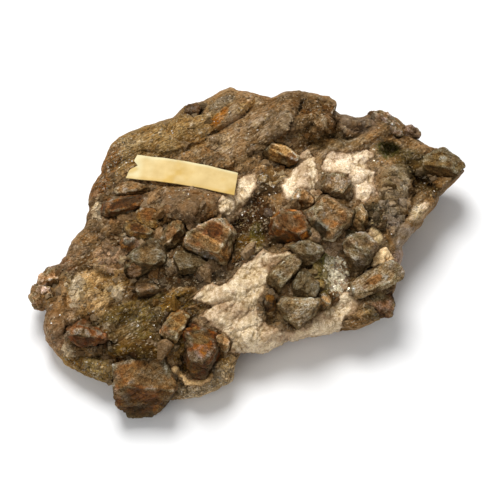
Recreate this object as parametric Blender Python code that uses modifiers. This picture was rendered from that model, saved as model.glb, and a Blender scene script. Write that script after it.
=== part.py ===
"""A hand specimen of mica schist with staurolite crystals, quartz lenses and a glued paper label.

Everything is in metres, +Z up. The rock lies on a flat underside at Z = 0, its length runs along X,
and the origin is under the middle of its bounding box.

Most places are given as they are seen from the front and 60 degrees above: a spot on a picture grid
(a column to the right, a row downwards) and a height over the resting plane. seen_at() turns the two
into a point in space.
"""

import math
from collections import namedtuple

import bmesh
import bpy
import numpy as np
from mathutils import Matrix, Vector

MM = 0.001

# Driving dimensions, in real sizes
LENGTH = 175 * MM            # from the left nub to the right tip as seen, at the middle's distance
GAP = 0.3 * MM               # clearance between a piece and the pocket it sits in
HUB_HEIGHT = 20 * MM         # the spot inside the rock that its sides draw in towards
BASE_SHARE = 0.86            # how far the resting face reaches towards the rim
BASE_WAVE = 0.03             # by how much that share comes and goes round the foot
SAW_DEPTH = 2 * MM           # rock that is taken off below Z = 0 to leave a flat face
QUARTZ_RISE = 0.9 * MM       # hard quartz stands a little proud of the softer schist
QUARTZ_DEPTH = 8 * MM        # how deep the quartz lenses reach into the rock
PLATE_RISE = 25 * MM         # how far over the surface the plates go that cut the lenses out
LABEL_THICKNESS = 0.5 * MM   # paper with its glue
LABEL_RISE = 0.7 * MM        # glue between the rock's highest spots and the label
LABEL_CURL = 1.5 * MM        # its torn end has come loose by this much
LABEL_ARCH = 2.5             # its long edges arch upwards by this many steps of the grid

# The picture grid: the specimen spans these columns
LEFT_COLUMN = 29.5
RIGHT_COLUMN = 467.6
GRID_MIDDLE = (249.0, 250.0)
STEP = LENGTH / (RIGHT_COLUMN - LEFT_COLUMN)
SIGHT_ELEVATION = math.radians(60)
EYE_DISTANCE = 700 * MM
MIDDLE = Vector((-0.82 * MM, -4.76 * MM, 25 * MM))
SIN_E = math.sin(SIGHT_ELEVATION)
COS_E = math.cos(SIGHT_ELEVATION)
SIGHT_AXES = Matrix(((1, 0, 0), (0, SIN_E, -COS_E), (0, COS_E, SIN_E)))

# The rim of the rock as seen, clockwise from the left, as columns and rows about its middle spot
HUB = (210.0, 250.0)
RIM = [
    (45, 312), (34, 304), (33, 293), (38, 284), (43, 275), (52, 268.5), (60, 267), (67, 257),
    (73, 241), (83.5, 228.5), (89, 209), (89, 199), (93.5, 184), (101, 173), (106.5, 155),
    (112, 144), (121, 136), (133, 130.5), (155, 123.5), (173, 118), (186, 107), (200, 103.5),
    (224, 91), (230, 88.5), (240, 91), (259, 95), (271.5, 98), (283, 93.5), (299, 91), (316, 95),
    (329, 97), (332, 108), (340, 114), (353, 118), (366, 117), (373, 113), (391, 116), (403, 125),
    (415, 131), (420, 138), (424, 145), (437, 150), (450, 154), (461, 164), (465, 171), (457, 179),
    (444, 187), (440, 195), (437, 204), (424, 215.5), (421, 224), (412, 233), (402, 246.6),
    (403, 254), (398, 268), (397, 285), (391, 300), (389, 313), (380, 318), (368, 324),
    (356, 328.7), (346, 326.6), (335, 330), (309, 334), (287, 338), (263, 350), (241, 350.5),
    (234, 368), (232, 381), (217.5, 389), (191, 398), (165, 398), (140, 396), (120, 386),
    (103, 382.5), (89, 377), (75, 370), (65, 362.7), (58, 355), (45.7, 340), (44, 326)]

# Heights of the worn surface over the resting plane: column, row, millimetres
SURFACE_HEIGHTS = [
    (100, 190, 29), (120, 150, 30), (160, 135, 33), (200, 120, 35), (235, 100, 35), (280, 105, 39),
    (310, 105, 38), (335, 125, 35), (362, 130, 33), (395, 135, 32), (415, 150, 29), (432, 185, 24),
    (70, 270, 22), (60, 300, 20), (90, 240, 28), (130, 200, 33), (180, 200, 35), (220, 180, 36),
    (260, 170, 35), (300, 160, 34), (345, 160, 33), (380, 180, 34), (400, 210, 31), (408, 235, 24),
    (110, 260, 29), (150, 250, 32), (200, 240, 33), (250, 220, 32), (290, 230, 34), (330, 230, 34),
    (370, 240, 31), (392, 265, 25), (80, 320, 23), (60, 340, 16), (120, 310, 27), (170, 300, 29),
    (220, 300, 30), (260, 290, 30), (300, 290, 31), (340, 280, 29), (375, 290, 24), (385, 310, 17),
    (90, 368, 12), (130, 340, 23), (180, 340, 23), (220, 350, 20), (250, 330, 24), (300, 325, 22),
    (345, 315, 20), (140, 390, 12), (200, 388, 11), (225, 372, 13), (265, 342, 19), (330, 328, 16)]
HEIGHT_REACH = 21.0          # steps of the grid over which each height is felt

# How the upper surface meets the rim: rounded over so many steps of the grid at the back, and over
# more at the front, and the rim as a share of the height inside it, which falls towards the front
BACK_ROUNDING = 7
FRONT_ROUNDING = 13
ROUNDING_POWER = 1.5
BACK_RIM_SHARE = 0.88
RIM_SHARE_FALL = 0.62
RIM_FALL_POWER = 1.2
SIDE_POWER = 1.3             # above 1 the sides leave the rim steeply and spread out at the foot

# Waves of the ground: millimetres, length in steps of the grid, seed. The last ones follow the
# layering, which is turned by this angle and stretched.
ROUND_WAVES = ((0.9, 55, 3), (0.7, 26, 4))
LAYER_WAVES = (0.6, 15, 5)
LAYER_TURN = 0.5
LAYER_STRETCH = 0.3
CALM_SPOT = (184, 177, 58, 20)   # column, row, half length and half width of the plain under the label
CALM_SHARE = 0.85

# The ball that the rock is pulled from: its fineness, the angle from its pole that becomes the rim,
# and the share of its faces that stay
BALL_SUBDIVISIONS = 6
RIM_POLAR = math.radians(112)
KEPT_FACES = 0.17

# Ridges, mounds and hollows: column, row, half length, half width, turn in degrees, millimetres
RELIEF = [
    ("smooth log ridge", 272, 122, 44, 15, 42, 5.0),
    ("log ridge, lower end", 232, 158, 44, 12, 22, 2.2),
    ("upper slab", 170, 140, 60, 16, 22, 1.6),
    ("slab behind the ridge", 225, 108, 30, 11, 32, 2.0),
    ("groove along the slab", 232, 122, 26, 3.5, 35, -2.6),
    ("brown block", 314, 122, 19, 17, 15, 4.2),
    ("hollow beside the block", 296, 112, 13, 4, 50, -4.5),
    ("hollow under the ridge", 271, 141, 11, 5, 40, -3.5),
    ("hump under the label", 188, 202, 32, 15, 4, 5.4),
    ("hollow under the hump", 190, 221, 28, 4.5, 10, -3.2),
    ("dark granular field", 252, 220, 26, 24, 35, -2.4),
    ("back ridge", 350, 120, 20, 6, -14, 3.2),
    ("hollow below the back ridge", 343, 137, 14, 6, -8, -3.2),
    ("deep green hollow", 389, 151, 11, 9, -20, -6.0),
    ("grey hump", 394, 184, 13, 20, -15, 5.0),
    ("dark mica lumps", 383, 214, 16, 12, 10, 4.2),
    ("slot under the tip", 424, 181, 15, 6, -35, -4.0),
    ("pale mound", 84, 298, 26, 18, 10, 2.6),
    ("tan knob", 112, 288, 15, 12, 20, 2.0),
    ("band below the mound", 120, 322, 26, 8, 5, -1.8),
    ("ledge", 142, 348, 34, 6, 3, 2.8),
    ("step under the ledge", 96, 356, 26, 5, -4, -3.2),
    ("olive lobe", 90, 370, 24, 9, -12, 2.4),
    ("front lobe", 212, 378, 26, 14, 18, 2.2),
    ("cavity between crystals", 181, 358, 6, 17, 0, -5.5),
    ("mica valley", 336, 276, 14, 22, 10, -3.4),
    ("cavity by the wedge", 272, 318, 10, 8, -30, -4.0),
    ("groove in the quartz", 212, 305, 20, 3.5, 17, -2.2),
    ("pink shoulder", 404, 240, 12, 20, 30, 2.0),
    ("left shoulder", 52, 322, 10, 18, 0, 1.5),
    ("rock between the left crystals", 143, 232, 34, 30, 40, 2.2),
    ("rock between the right crystals", 320, 222, 44, 30, -30, 2.2),
    ("rock between the lower crystals", 298, 290, 34, 24, 40, 1.8),
    ("rock round the wedge", 205, 250, 34, 22, -20, 1.2),
    ("rock round the upright crystal", 186, 336, 30, 26, -40, 1.5),
]

# Quartz lenses: outlines as seen, and the height of the surface around them
QUARTZ = {
    "quartz_lens_centre": (27, [
        (191, 299), (207, 284), (226, 284), (241, 266), (256, 256), (262, 249), (275, 254),
        (290, 250), (293, 256), (270, 267), (265, 290), (258, 302), (258, 313), (272, 327),
        (290, 332), (306, 329), (315, 316), (324, 308), (337, 301), (338, 292), (349, 292),
        (361, 303), (357, 313), (345, 318), (339, 336), (300, 346), (263, 358), (243, 356),
        (231, 350), (229, 338), (200, 317), (212, 306)]),
    "quartz_vein_upper_left": (34, [
        (281, 186), (288, 176), (295, 166), (297, 157), (308, 149), (315, 158), (318, 170),
        (318, 182), (316, 196), (310, 197), (305, 190), (296, 192), (288, 202)]),
    "quartz_vein_upper_right": (34, [
        (321, 166), (325, 156), (331, 151), (343, 153), (362, 149), (373, 151), (375, 157),
        (367, 161), (368, 168), (376, 172), (373, 180), (380, 196), (371, 198), (366, 203),
        (356, 199), (352, 188), (347, 177), (337, 173), (326, 173)]),
    "quartz_beside_label": (34, [
        (216, 206), (221, 196), (234, 191), (238, 180), (245, 174), (257, 174), (257, 186),
        (249, 199), (241, 211), (228, 218), (219, 213)]),
    "quartz_crescent": (17, [
        (171, 363), (177, 365), (182, 372), (190, 379), (198, 380), (206, 376), (211, 370),
        (216, 374), (211, 382), (200, 386), (187, 386), (177, 379), (172, 371)]),
    "quartz_nodule_upper": (31, [(365, 233), (371, 226), (381, 229), (383, 240), (377, 247), (368, 242)]),
    "quartz_nodule_lower": (27, [
        (370, 262), (376, 251), (386, 247), (395, 259), (385, 266), (377, 271), (370, 269)]),
}

# Staurolite crystals, each as it is seen: the height of its middle over the resting plane in mm, how
# far it reaches back into the rock and how far it rises towards the eye in mm, its visible faces,
# its outline clockwise on the grid, and the lean of its sides towards the eye in degrees. A face is
# the way it looks on the grid, its tilt towards the eye, and a spot that it passes through.
# The first named grew first, and later ones stop at it.
Crystal = namedtuple("Crystal", "height depth rise faces outline lean", defaults=[8])
CRYSTALS = {
    "crystal_large_cube": [Crystal(
        36.5, 7, 7.5, [(66, 60, 330, 214), (222, 36, 320, 224), (322, 32, 348, 223)],
        [(307, 219), (309, 210), (326, 196), (354, 212.5), (350.5, 225), (334, 243.5), (316, 239.5)])],
    "crystal_great_block": [Crystal(
        13.8, 8, 8.5, [(80, 62, 146, 387), (268, 48, 146, 387), (178, 40, 122, 385)],
        [(113, 365.6), (130.6, 361), (150, 357.5), (166, 357.5), (171.7, 371.5), (176, 387.6),
         (171.7, 399.4), (163, 406.7), (155.6, 415.5), (135, 418.4), (126, 415.5), (116, 402.3),
         (113.7, 384.7)], 0)],
    "crystal_wedge_centre": [Crystal(
        35.2, 5, 7, [(77, 66, 206, 250.5), (257, 35, 206, 250.5), (350, 45, 227, 240)],
        [(183.8, 246), (186.8, 233.2), (197, 227), (215.4, 219.5), (222.6, 219.5), (234.8, 234.2),
         (232.5, 245), (230.7, 257), (226.6, 263.8), (217.5, 264.8), (206.2, 260.7), (193, 252.6)])],
    "crystal_block_left": [Crystal(
        33, 5, 6.5, [(84, 70, 140, 262), (262, 38, 140, 262), (185, 40, 129.5, 265)],
        [(123.6, 262), (135.8, 249.5), (148, 240.3), (158.3, 240.3), (165.4, 251.5), (166.4, 265.8),
         (158.3, 268.9), (144, 275), (128.7, 283.2), (124.6, 281)])],
    "crystal_upright": [Crystal(
        22.5, 7, 7.5, [(72, 66, 203, 350), (255, 34, 199, 359), (342, 42, 211, 352)],
        [(183.2, 332), (187.6, 327.2), (204, 328.6), (214.4, 336), (218.9, 348), (216, 357),
         (211.5, 366), (205.6, 376.2), (195.2, 377.6), (187.5, 370), (185.5, 351), (182.4, 339.2)])],
    "crystal_prism_lower_right": [Crystal(
        26, 6, 5, [(112, 64, 378, 283), (292, 46, 378, 286), (10, 45, 396, 273), (200, 45, 357, 291)],
        [(352.6, 293), (350.3, 286), (356, 278.6), (384.7, 262.8), (392.8, 261.4), (399.9, 267),
         (403.4, 275.6), (401, 280.6), (392.8, 286.4), (374.4, 293.4), (361.8, 300), (356, 299.7)], 2)],
    "crystal_prism_centre": [Crystal(
        33, 4, 4.5, [(52, 74, 283, 275), (228, 36, 278, 281)],
        [(265.7, 281), (267.6, 276.2), (289.4, 255.6), (296.3, 254.6), (301.2, 262.6), (299.8, 268.2),
         (278, 294.4), (274, 295.4), (267, 286.5)])],
    "crystal_wedge_lower": [
        Crystal(
            26.5, 6, 6, [(262, 66, 299, 308), (88, 45, 299, 304)],
            [(276.5, 304.5), (284.9, 297), (300.9, 296.5), (319.3, 298.5), (324, 306), (313, 315.5),
             (306, 327.6), (298.4, 327.8), (286, 318.5)]),
        Crystal(
            25, 4, 3.5, [(60, 64, 325, 300), (250, 50, 325, 302)],
            [(319, 294), (325, 292.5), (332, 300.6), (330, 306.8), (324, 310.4), (318.6, 306.6)])],
    "crystal_tip_right": [Crystal(
        24, 9, 6, [(75, 66, 443, 166), (262, 50, 443, 168), (350, 60, 452, 168)],
        [(419.5, 158), (437.8, 148.3), (443.4, 146.6), (451, 151.8), (462.4, 160.7), (468, 170.3),
         (464.3, 176.2), (450, 183.5), (443.4, 191.2), (433.5, 186.5), (419.5, 172)], 0)],
    "crystal_rust_right": [Crystal(
        35.2, 5, 6, [(72, 66, 290, 228), (250, 36, 288, 231), (325, 50, 300, 232)],
        [(270, 235), (272, 219.4), (281.4, 210.5), (299.8, 211), (309, 226), (316.5, 238.9),
         (310, 245), (300.9, 247), (289.4, 249), (274.5, 245.5)])],
    "crystal_faceted_right": [Crystal(
        32.6, 5, 6.5, [(62, 60, 360, 249), (245, 44, 360, 249), (335, 42, 367, 250)],
        [(342, 244), (346.8, 236.4), (356, 233.8), (365.2, 233.8), (375.8, 243), (377, 248.5),
         (373, 258), (369.8, 263), (361.8, 270), (352.6, 271.2), (344.6, 258.5)])],
    "crystal_block_upper": [Crystal(
        35.2, 6, 6, [(75, 64, 335, 186), (238, 40, 332, 189), (338, 35, 345, 190)],
        [(320.4, 186), (323.9, 174.6), (333.1, 172.4), (344.6, 174.2), (350.5, 182.6), (353, 193),
         (352, 205.6), (344, 206), (330, 196), (322.5, 193)])],
    "crystal_grey_wedge": [Crystal(
        33, 5, 5, [(85, 72, 306, 250), (262, 48, 306, 254)],
        [(289.4, 245), (299.8, 240.5), (310.1, 238.5), (320.4, 244), (324, 251.5), (319.3, 259.6),
         (312.4, 265.6), (305.5, 266.8), (298, 258)])],
    "crystal_stepped": [Crystal(
        30.5, 5, 4.5, [(50, 72, 303, 285), (250, 45, 302, 290)],
        [(290.6, 285), (299.8, 270.5), (309, 272.8), (319.5, 283.7), (317.4, 294.4), (306.7, 301),
         (292.5, 296.8)])],
    "crystal_round_right": [Crystal(
        33.5, 4, 4.5, [(60, 66, 359, 217), (270, 45, 359, 222)],
        [(352.6, 226), (353.8, 208), (361.8, 204), (367.8, 215.9), (368.4, 225.5), (365.2, 232.4),
         (358.3, 233.6)])],
    "crystal_small_upper": [Crystal(
        35.2, 4, 4, [(80, 64, 302, 198), (250, 42, 302, 200)],
        [(288.3, 203.3), (292.9, 196), (297.5, 188.9), (305.5, 189), (312.4, 195.5), (314.7, 202.1),
         (309, 208), (302, 210.5), (293, 207)])],
    "crystal_elongated_top": [Crystal(
        34.2, 4, 4.5, [(68, 62, 280, 152), (246, 50, 280, 154)],
        [(260.7, 152), (274.1, 139.8), (285.4, 143.4), (300.7, 156.8), (297, 163.2), (289.1, 167),
         (274, 163.4), (262.5, 159.5)])],
    "crystal_ledge_back": [Crystal(
        31.5, 8, 4, [(48, 50, 388, 121), (232, 62, 388, 121)],
        [(368, 112), (379.4, 110.3), (392.8, 115.5), (401.2, 127), (404.4, 136.4), (396, 137),
         (381, 129), (369, 121.6)], 0)],
    "crystal_knob_back": [Crystal(
        28.5, 7, 3.5, [(60, 55, 412, 131), (240, 55, 412, 131)],
        [(403.5, 126), (411.4, 124.8), (421, 132.7), (419.2, 138.6), (409.5, 141), (403, 135)], 0)],
    "crystal_plate_centre": [Crystal(
        32.2, 5, 4, [(62, 74, 190, 262), (290, 32, 187, 268)],
        [(173.6, 259.7), (176.6, 251.5), (184.8, 250), (196, 253), (207.5, 262), (207, 265),
         (197, 270.9), (184.8, 274), (179, 271.9)])],
    "crystal_narrow": [Crystal(
        34.5, 5, 5, [(130, 62, 174, 234), (320, 48, 174, 236)],
        [(170.5, 220.9), (176.6, 218.5), (182.8, 221.9), (186, 232), (183.8, 238.3), (172.6, 248.5),
         (164.4, 252), (159.3, 246.4), (160.3, 236.2), (166, 227)])],
    "crystal_pair_left": [
        Crystal(
            33.4, 4, 5, [(75, 68, 140, 231), (265, 42, 140, 233)],
            [(122.6, 225), (125.6, 220.9), (133.8, 219.5), (146, 224), (156.2, 232.1), (157, 236.2),
             (152, 239.3), (139.9, 239.5), (128.7, 235.8), (124, 231)]),
        Crystal(
            34.2, 4, 4.5, [(60, 70, 148, 216), (200, 55, 143, 218)],
            [(136.8, 211.7), (140.9, 207.5), (153.2, 208.3), (156.8, 213.8), (159.6, 226),
             (157.2, 233), (147, 229), (136, 220)])],
    "crystal_small_left": [Crystal(
        31.4, 4, 4.5, [(75, 68, 131, 245), (262, 40, 131, 247)],
        [(118.5, 242.3), (124.6, 238), (133.8, 238), (143, 243.4), (142, 248.5), (135.8, 252),
         (128.7, 252.6), (122.6, 249.5)])],
    "crystal_prism_left": [Crystal(
        33.2, 4, 5, [(104, 64, 126, 208), (284, 40, 126, 209)],
        [(101.1, 214), (104.2, 202.6), (115.4, 197.5), (144, 194.4), (148.8, 198.6), (146.5, 205),
         (118.5, 216), (106.2, 218.2)])],
    "crystal_under_label": [Crystal(
        31.8, 4, 3.2, [(100, 66, 132, 190), (280, 45, 132, 191)],
        [(115, 190), (119.5, 184.5), (133.8, 182), (146, 183.5), (150, 187), (148, 194.4),
         (133.8, 196.6), (117, 197)])],
    "crystal_rusty_pair": [Crystal(
        25, 6, 6.5, [(85, 64, 176, 325), (250, 42, 172, 333), (330, 45, 182, 328)],
        [(158, 335), (162.7, 324), (171.7, 312.4), (183.4, 309.5), (191.2, 315.6), (191.5, 322.5),
         (184, 333), (180.5, 342.5), (171.7, 348.4), (162.5, 342.6)])],
    "crystal_brown_lump": [Crystal(
        22.4, 4, 4, [(60, 60, 222, 340), (250, 45, 222, 343)],
        [(216.5, 333.3), (225.8, 334.2), (230.7, 342), (229, 349.8), (220.3, 353), (215, 343)])],
    "crystal_lump_lower_left": [Crystal(
        21, 5, 5, [(82, 62, 90, 332), (262, 45, 90, 336)],
        [(67.2, 331), (79.3, 321.2), (91, 323.8), (107.1, 331.2), (113.4, 339.2), (101.3, 344),
         (83.7, 347), (71.5, 342.5)])],
    "crystal_nub_left": [
        Crystal(
            18.5, 9, 4, [(100, 55, 48, 277), (280, 50, 48, 280)],
            [(40.8, 276.1), (46.8, 268.4), (57.5, 268.2), (60, 277), (58, 289), (44, 289),
             (37.8, 283.5)], 0),
        Crystal(
            16.5, 9, 4, [(120, 58, 40, 295), (290, 50, 40, 298)],
            [(29.7, 295.2), (32, 286), (38, 284.5), (50, 287.5), (54, 301), (44, 310.5),
             (33.6, 307.2)], 0)],
    "crystal_dark_small": [Crystal(
        28.8, 4, 3.5, [(70, 62, 269, 300), (255, 45, 269, 302)],
        [(264, 296.3), (269.9, 291.5), (274.8, 297.4), (273.8, 307.8), (268.8, 311.4),
         (263.8, 306.6)])],
    "crystal_olive_rim": [Crystal(
        18, 7, 5, [(80, 58, 380, 303), (262, 42, 380, 306)],
        [(364.8, 305), (374.4, 294), (391.6, 290.4), (394.7, 305.5), (390.7, 315.8), (381.3, 318.4),
         (369.4, 315)], 0)],
    "crystal_small_below_block": [Crystal(
        28.4, 3, 3, [(90, 66, 149, 288), (270, 45, 149, 290)],
        [(134.8, 288), (136, 283.4), (146, 281.5), (158.3, 285.6), (164, 289.3), (162.3, 296),
         (150, 298.5), (138, 296)])],
    "crystal_bump_top": [Crystal(
        34, 6, 3, [(90, 50, 194, 109), (250, 55, 194, 111)],
        [(187, 104.8), (196.9, 102.4), (202.9, 108.2), (198, 118.5), (186, 119), (183.4, 112)], 0)],
}
LEAN_SPREAD = 7              # degrees by which the sides of one crystal lean more or less
UNCUT = 60 * MM              # the cube that each crystal is cut from

# The label: its four corners as seen, and the notch torn into its left end
LABEL_CORNERS = ((137.7, 155.5), (238, 173.4), (234.3, 195.6), (126, 178.6))
LABEL_NOTCH = (136.5, 166)
LABEL_SQUARES = (9, 2)

COLOURS = {
    "schist": (0.155, 0.105, 0.056),
    "staurolite": (0.130, 0.098, 0.064),
    "quartz": (0.600, 0.490, 0.350),
    "paper": (0.740, 0.580, 0.280),
}


def clear_scene():
    """Take every object out of the file."""
    for item in list(bpy.data.objects):
        bpy.data.objects.remove(item, do_unlink=True)


def new_collection(name):
    """An empty collection in the scene."""
    collection = bpy.data.collections.new(name)
    bpy.context.scene.collection.children.link(collection)
    return collection


def new_material(name, colour, roughness):
    """A material with one colour and roughness."""
    material = bpy.data.materials.new(name)
    material.use_nodes = True
    shader = material.node_tree.nodes["Principled BSDF"]
    shader.inputs["Base Color"].default_value = (*colour, 1)
    shader.inputs["Roughness"].default_value = roughness
    shader.inputs["Metallic"].default_value = 0
    return material


def seen_at(column, row, height):
    """Point at a height over the resting plane that is seen at a spot of the picture grid."""
    across = (np.asarray(column, float) - GRID_MIDDLE[0]) * STEP
    upward = (GRID_MIDDLE[1] - np.asarray(row, float)) * STEP
    towards = (height - MIDDLE.z - upward * COS_E) / (SIN_E - upward * COS_E / EYE_DISTANCE)
    shrink = 1 - towards / EYE_DISTANCE
    x = MIDDLE.x + across * shrink
    y = MIDDLE.y + upward * SIN_E * shrink - towards * COS_E
    return np.stack([x, y, np.broadcast_to(height, np.shape(x))], axis=-1)


def waves(x, y, length, seed, count=7):
    """Lumpy ground of about unit height: waves of near one length that run every way, summed."""
    dice = np.random.RandomState(seed)
    total = np.zeros(np.shape(x))
    for turn, stretch, phase in dice.rand(count, 3):
        angle = 2 * math.pi * turn
        size = length * (0.75 + 0.6 * stretch)
        along = (x * math.cos(angle) + y * math.sin(angle)) * 2 * math.pi / size
        total += np.sin(along + 2 * math.pi * phase)
    return total / math.sqrt(count)


def mound(column, row, spot):
    """Height of one mound or hollow, from its full value in the middle to nothing outside."""
    _, middle_column, middle_row, half_length, half_width, turn, height = spot
    angle = math.radians(turn)
    dx = column - middle_column
    dy = middle_row - row
    along = (dx * math.cos(angle) + dy * math.sin(angle)) / half_length
    aside = (dy * math.cos(angle) - dx * math.sin(angle)) / half_width
    return height * np.exp(-(along ** 2 + aside ** 2) ** 2)


def surface_height(column, row):
    """Height of the rock's upper surface in metres: a blend of the heights, then the relief."""
    spots = np.array(SURFACE_HEIGHTS, float)
    reach = 2 * HEIGHT_REACH ** 2
    apart = (column[..., None] - spots[:, 0]) ** 2 + (row[..., None] - spots[:, 1]) ** 2
    weight = np.exp(-apart / reach) + 1e-9
    height = (weight * spots[:, 2]).sum(-1) / weight.sum(-1)
    for spot in RELIEF:
        height = height + mound(column, row, spot)
    calm_column, calm_row, calm_length, calm_width = CALM_SPOT
    calm = np.exp(-((column - calm_column) / calm_length) ** 4 - ((row - calm_row) / calm_width) ** 4)
    rough = sum(rise * waves(column, row, length, seed) for rise, length, seed in ROUND_WAVES)
    along = column * math.cos(LAYER_TURN) - row * math.sin(LAYER_TURN)
    across = column * math.sin(LAYER_TURN) + row * math.cos(LAYER_TURN)
    rise, length, seed = LAYER_WAVES
    rough += rise * waves(along * LAYER_STRETCH, across, length, seed)
    return (height + rough * (1 - CALM_SHARE * calm)) * MM


def rim_distance(angle):
    """Distance of the rim from the hub, in grid steps, for each angle of the picture."""
    rim = np.array(RIM)
    dx = rim[:, 0] - HUB[0]
    dy = HUB[1] - rim[:, 1]
    order = np.argsort(np.arctan2(dy, dx))
    angles = np.arctan2(dy, dx)[order]
    return np.interp(angle, angles, np.hypot(dx, dy)[order], period=2 * math.pi)


def rock_points(directions, rise):
    """Carry a ball's points over to the rock: its upper part to the seen surface, the rest below.

    Of what lies below, the upper half goes down the side to the foot and the lower half runs in
    under the rock."""
    polar = np.arccos(np.clip(directions[:, 2], -1, 1))
    angle = np.arctan2(directions[:, 1], directions[:, 0])
    share = np.sqrt(np.clip((1 - np.cos(polar)) / (1 - math.cos(RIM_POLAR)), 0, 1))
    reach = rim_distance(angle)
    column = HUB[0] + share * reach * np.cos(angle)
    row = HUB[1] - share * reach * np.sin(angle)
    front = 0.5 - 0.5 * np.sin(angle)
    rounding = BACK_ROUNDING + FRONT_ROUNDING * front ** ROUNDING_POWER
    edge = np.clip(1 - (1 - share) * reach / rounding, 0, 1)
    land = surface_height(column, row) + rise
    rim_height = land * (BACK_RIM_SHARE - RIM_SHARE_FALL * front ** RIM_FALL_POWER)
    height = rim_height + (land - rim_height) * np.sqrt(1 - edge ** 2)
    upper = seen_at(column, row, height)
    below = np.clip((polar - RIM_POLAR) / (math.pi - RIM_POLAR), 0, 1)
    fall = np.clip(2 * below, 0, 1)
    inward = np.clip(2 * below - 1, 0, 1)
    hub = seen_at(HUB[0], HUB[1], HUB_HEIGHT)
    foot_share = BASE_SHARE + BASE_WAVE * waves(angle * 20, angle * 0, 30, 8)
    foot = hub + (upper - hub) * foot_share[:, None]
    lower = upper + (foot - upper) * (fall ** SIDE_POWER)[:, None]
    lower[:, :2] = hub[:2] + (lower[:, :2] - hub[:2]) * (1 - inward)[:, None]
    lower[:, 2] = upper[:, 2] + (-SAW_DEPTH - upper[:, 2]) * fall
    return np.where((below > 0)[:, None], lower, upper)


def object_from_bmesh(name, shape, collection, material=None):
    """A named object of a finished shape."""
    mesh = bpy.data.meshes.new(name)
    shape.to_mesh(mesh)
    shape.free()
    item = bpy.data.objects.new(name, mesh)
    collection.objects.link(item)
    if material:
        mesh.materials.append(material)
    return item


def cut_away(shape, point, normal):
    """Slice a closed shape with a plane, drop what lies beyond it and close the cut."""
    everything = shape.verts[:] + shape.edges[:] + shape.faces[:]
    cut = bmesh.ops.bisect_plane(
        shape, geom=everything, plane_co=point, plane_no=normal, clear_outer=True)
    edges = [part for part in cut["geom_cut"] if isinstance(part, bmesh.types.BMEdge)]
    if edges:
        bmesh.ops.edgeloop_fill(shape, edges=edges)


def rock(name, collection, material, rise):
    """The rock: a fine ball pulled to the rock's form, thinned where it is plain, sawn flat."""
    shape = bmesh.new()
    bmesh.ops.create_icosphere(shape, subdivisions=BALL_SUBDIVISIONS, radius=1)
    directions = np.array([vertex.co[:] for vertex in shape.verts])
    for vertex, point in zip(shape.verts, rock_points(directions, rise)):
        vertex.co = point
    item = object_from_bmesh(name, shape, collection, material)
    thin = item.modifiers.new("thin", "DECIMATE")
    thin.ratio = KEPT_FACES
    settle(item)
    shape = bmesh.new()
    shape.from_mesh(item.data)
    cut_away(shape, (0, 0, 0), (0, 0, -1))
    shape.to_mesh(item.data)
    shape.free()
    return item


def settle(item):
    """Replace an object's mesh by what its modifiers make of it, and keep its largest body."""
    graph = bpy.context.evaluated_depsgraph_get()
    mesh = bpy.data.meshes.new_from_object(item.evaluated_get(graph))
    item.modifiers.clear()
    item.data = mesh
    shape = bmesh.new()
    shape.from_mesh(mesh)
    waiting = set(shape.verts)
    bodies = []
    while waiting:
        front = [waiting.pop()]
        body = list(front)
        while front:
            for edge in front.pop().link_edges:
                for vertex in edge.verts:
                    if vertex in waiting:
                        waiting.remove(vertex)
                        front.append(vertex)
                        body.append(vertex)
        bodies.append(body)
    bodies.sort(key=len)
    for body in bodies[:-1]:
        bmesh.ops.delete(shape, geom=body, context="VERTS")
    shape.to_mesh(mesh)
    shape.free()


def boolean(item, other, operation):
    """Join, cut or intersect an object with another one, as a modifier."""
    step = item.modifiers.new(operation.lower(), "BOOLEAN")
    step.operation = operation
    step.object = other
    step.solver = "EXACT"


def hide_cutter(item):
    """Show a shape that only serves to cut as a wire, and never render it."""
    item.hide_render = True
    item.display_type = "WIRE"


def crystal_planes(crystal):
    """The faces of a crystal in the axes of the sight, as unit normals and distances in metres.

    Each side of the outline gives one face, and the back one more. The first visible face rises to
    the crystal's full rise at its spot. Each later one passes through its own spot on the surface
    that the earlier ones make."""
    outline = np.array(crystal.outline, float)
    middle = outline.mean(0)
    spots = (outline - middle) * (STEP, -STEP)
    ways = np.roll(spots, -1, axis=0) - spots
    outwards = np.stack([-ways[:, 1], ways[:, 0]], axis=1)
    outwards /= np.linalg.norm(outwards, axis=1)[:, None]
    dice = np.random.RandomState(int(outline.sum()))
    leans = np.radians(crystal.lean + LEAN_SPREAD * (2 * dice.rand(len(outline)) - 1))
    sides = np.concatenate([outwards * np.cos(leans)[:, None], np.sin(leans)[:, None]], axis=1)
    side_distances = (spots * outwards).sum(1) * np.cos(leans)
    visible = []
    for look, tilt, column, row in crystal.faces:
        look = math.radians(look)
        tilt = math.radians(tilt)
        normal = np.array((math.cos(look) * math.cos(tilt), math.sin(look) * math.cos(tilt), math.sin(tilt)))
        spot = (np.array((column, row)) - middle) * (STEP, -STEP)
        rises = [(distance - face[:2] @ spot) / face[2] for face, distance in visible]
        rise = min(rises, default=crystal.rise * MM)
        visible.append((normal, normal @ np.array((*spot, rise))))
    normals = np.array([*sides, (0, 0, -1), *(face for face, _ in visible)])
    distances = np.array([*side_distances, crystal.depth * MM, *(distance for _, distance in visible)])
    return normals, distances


def crystal_middle(crystal):
    """Where the middle of a crystal's outline is in space."""
    column, row = np.array(crystal.outline).mean(0)
    return seen_at(column, row, crystal.height * MM)


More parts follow.
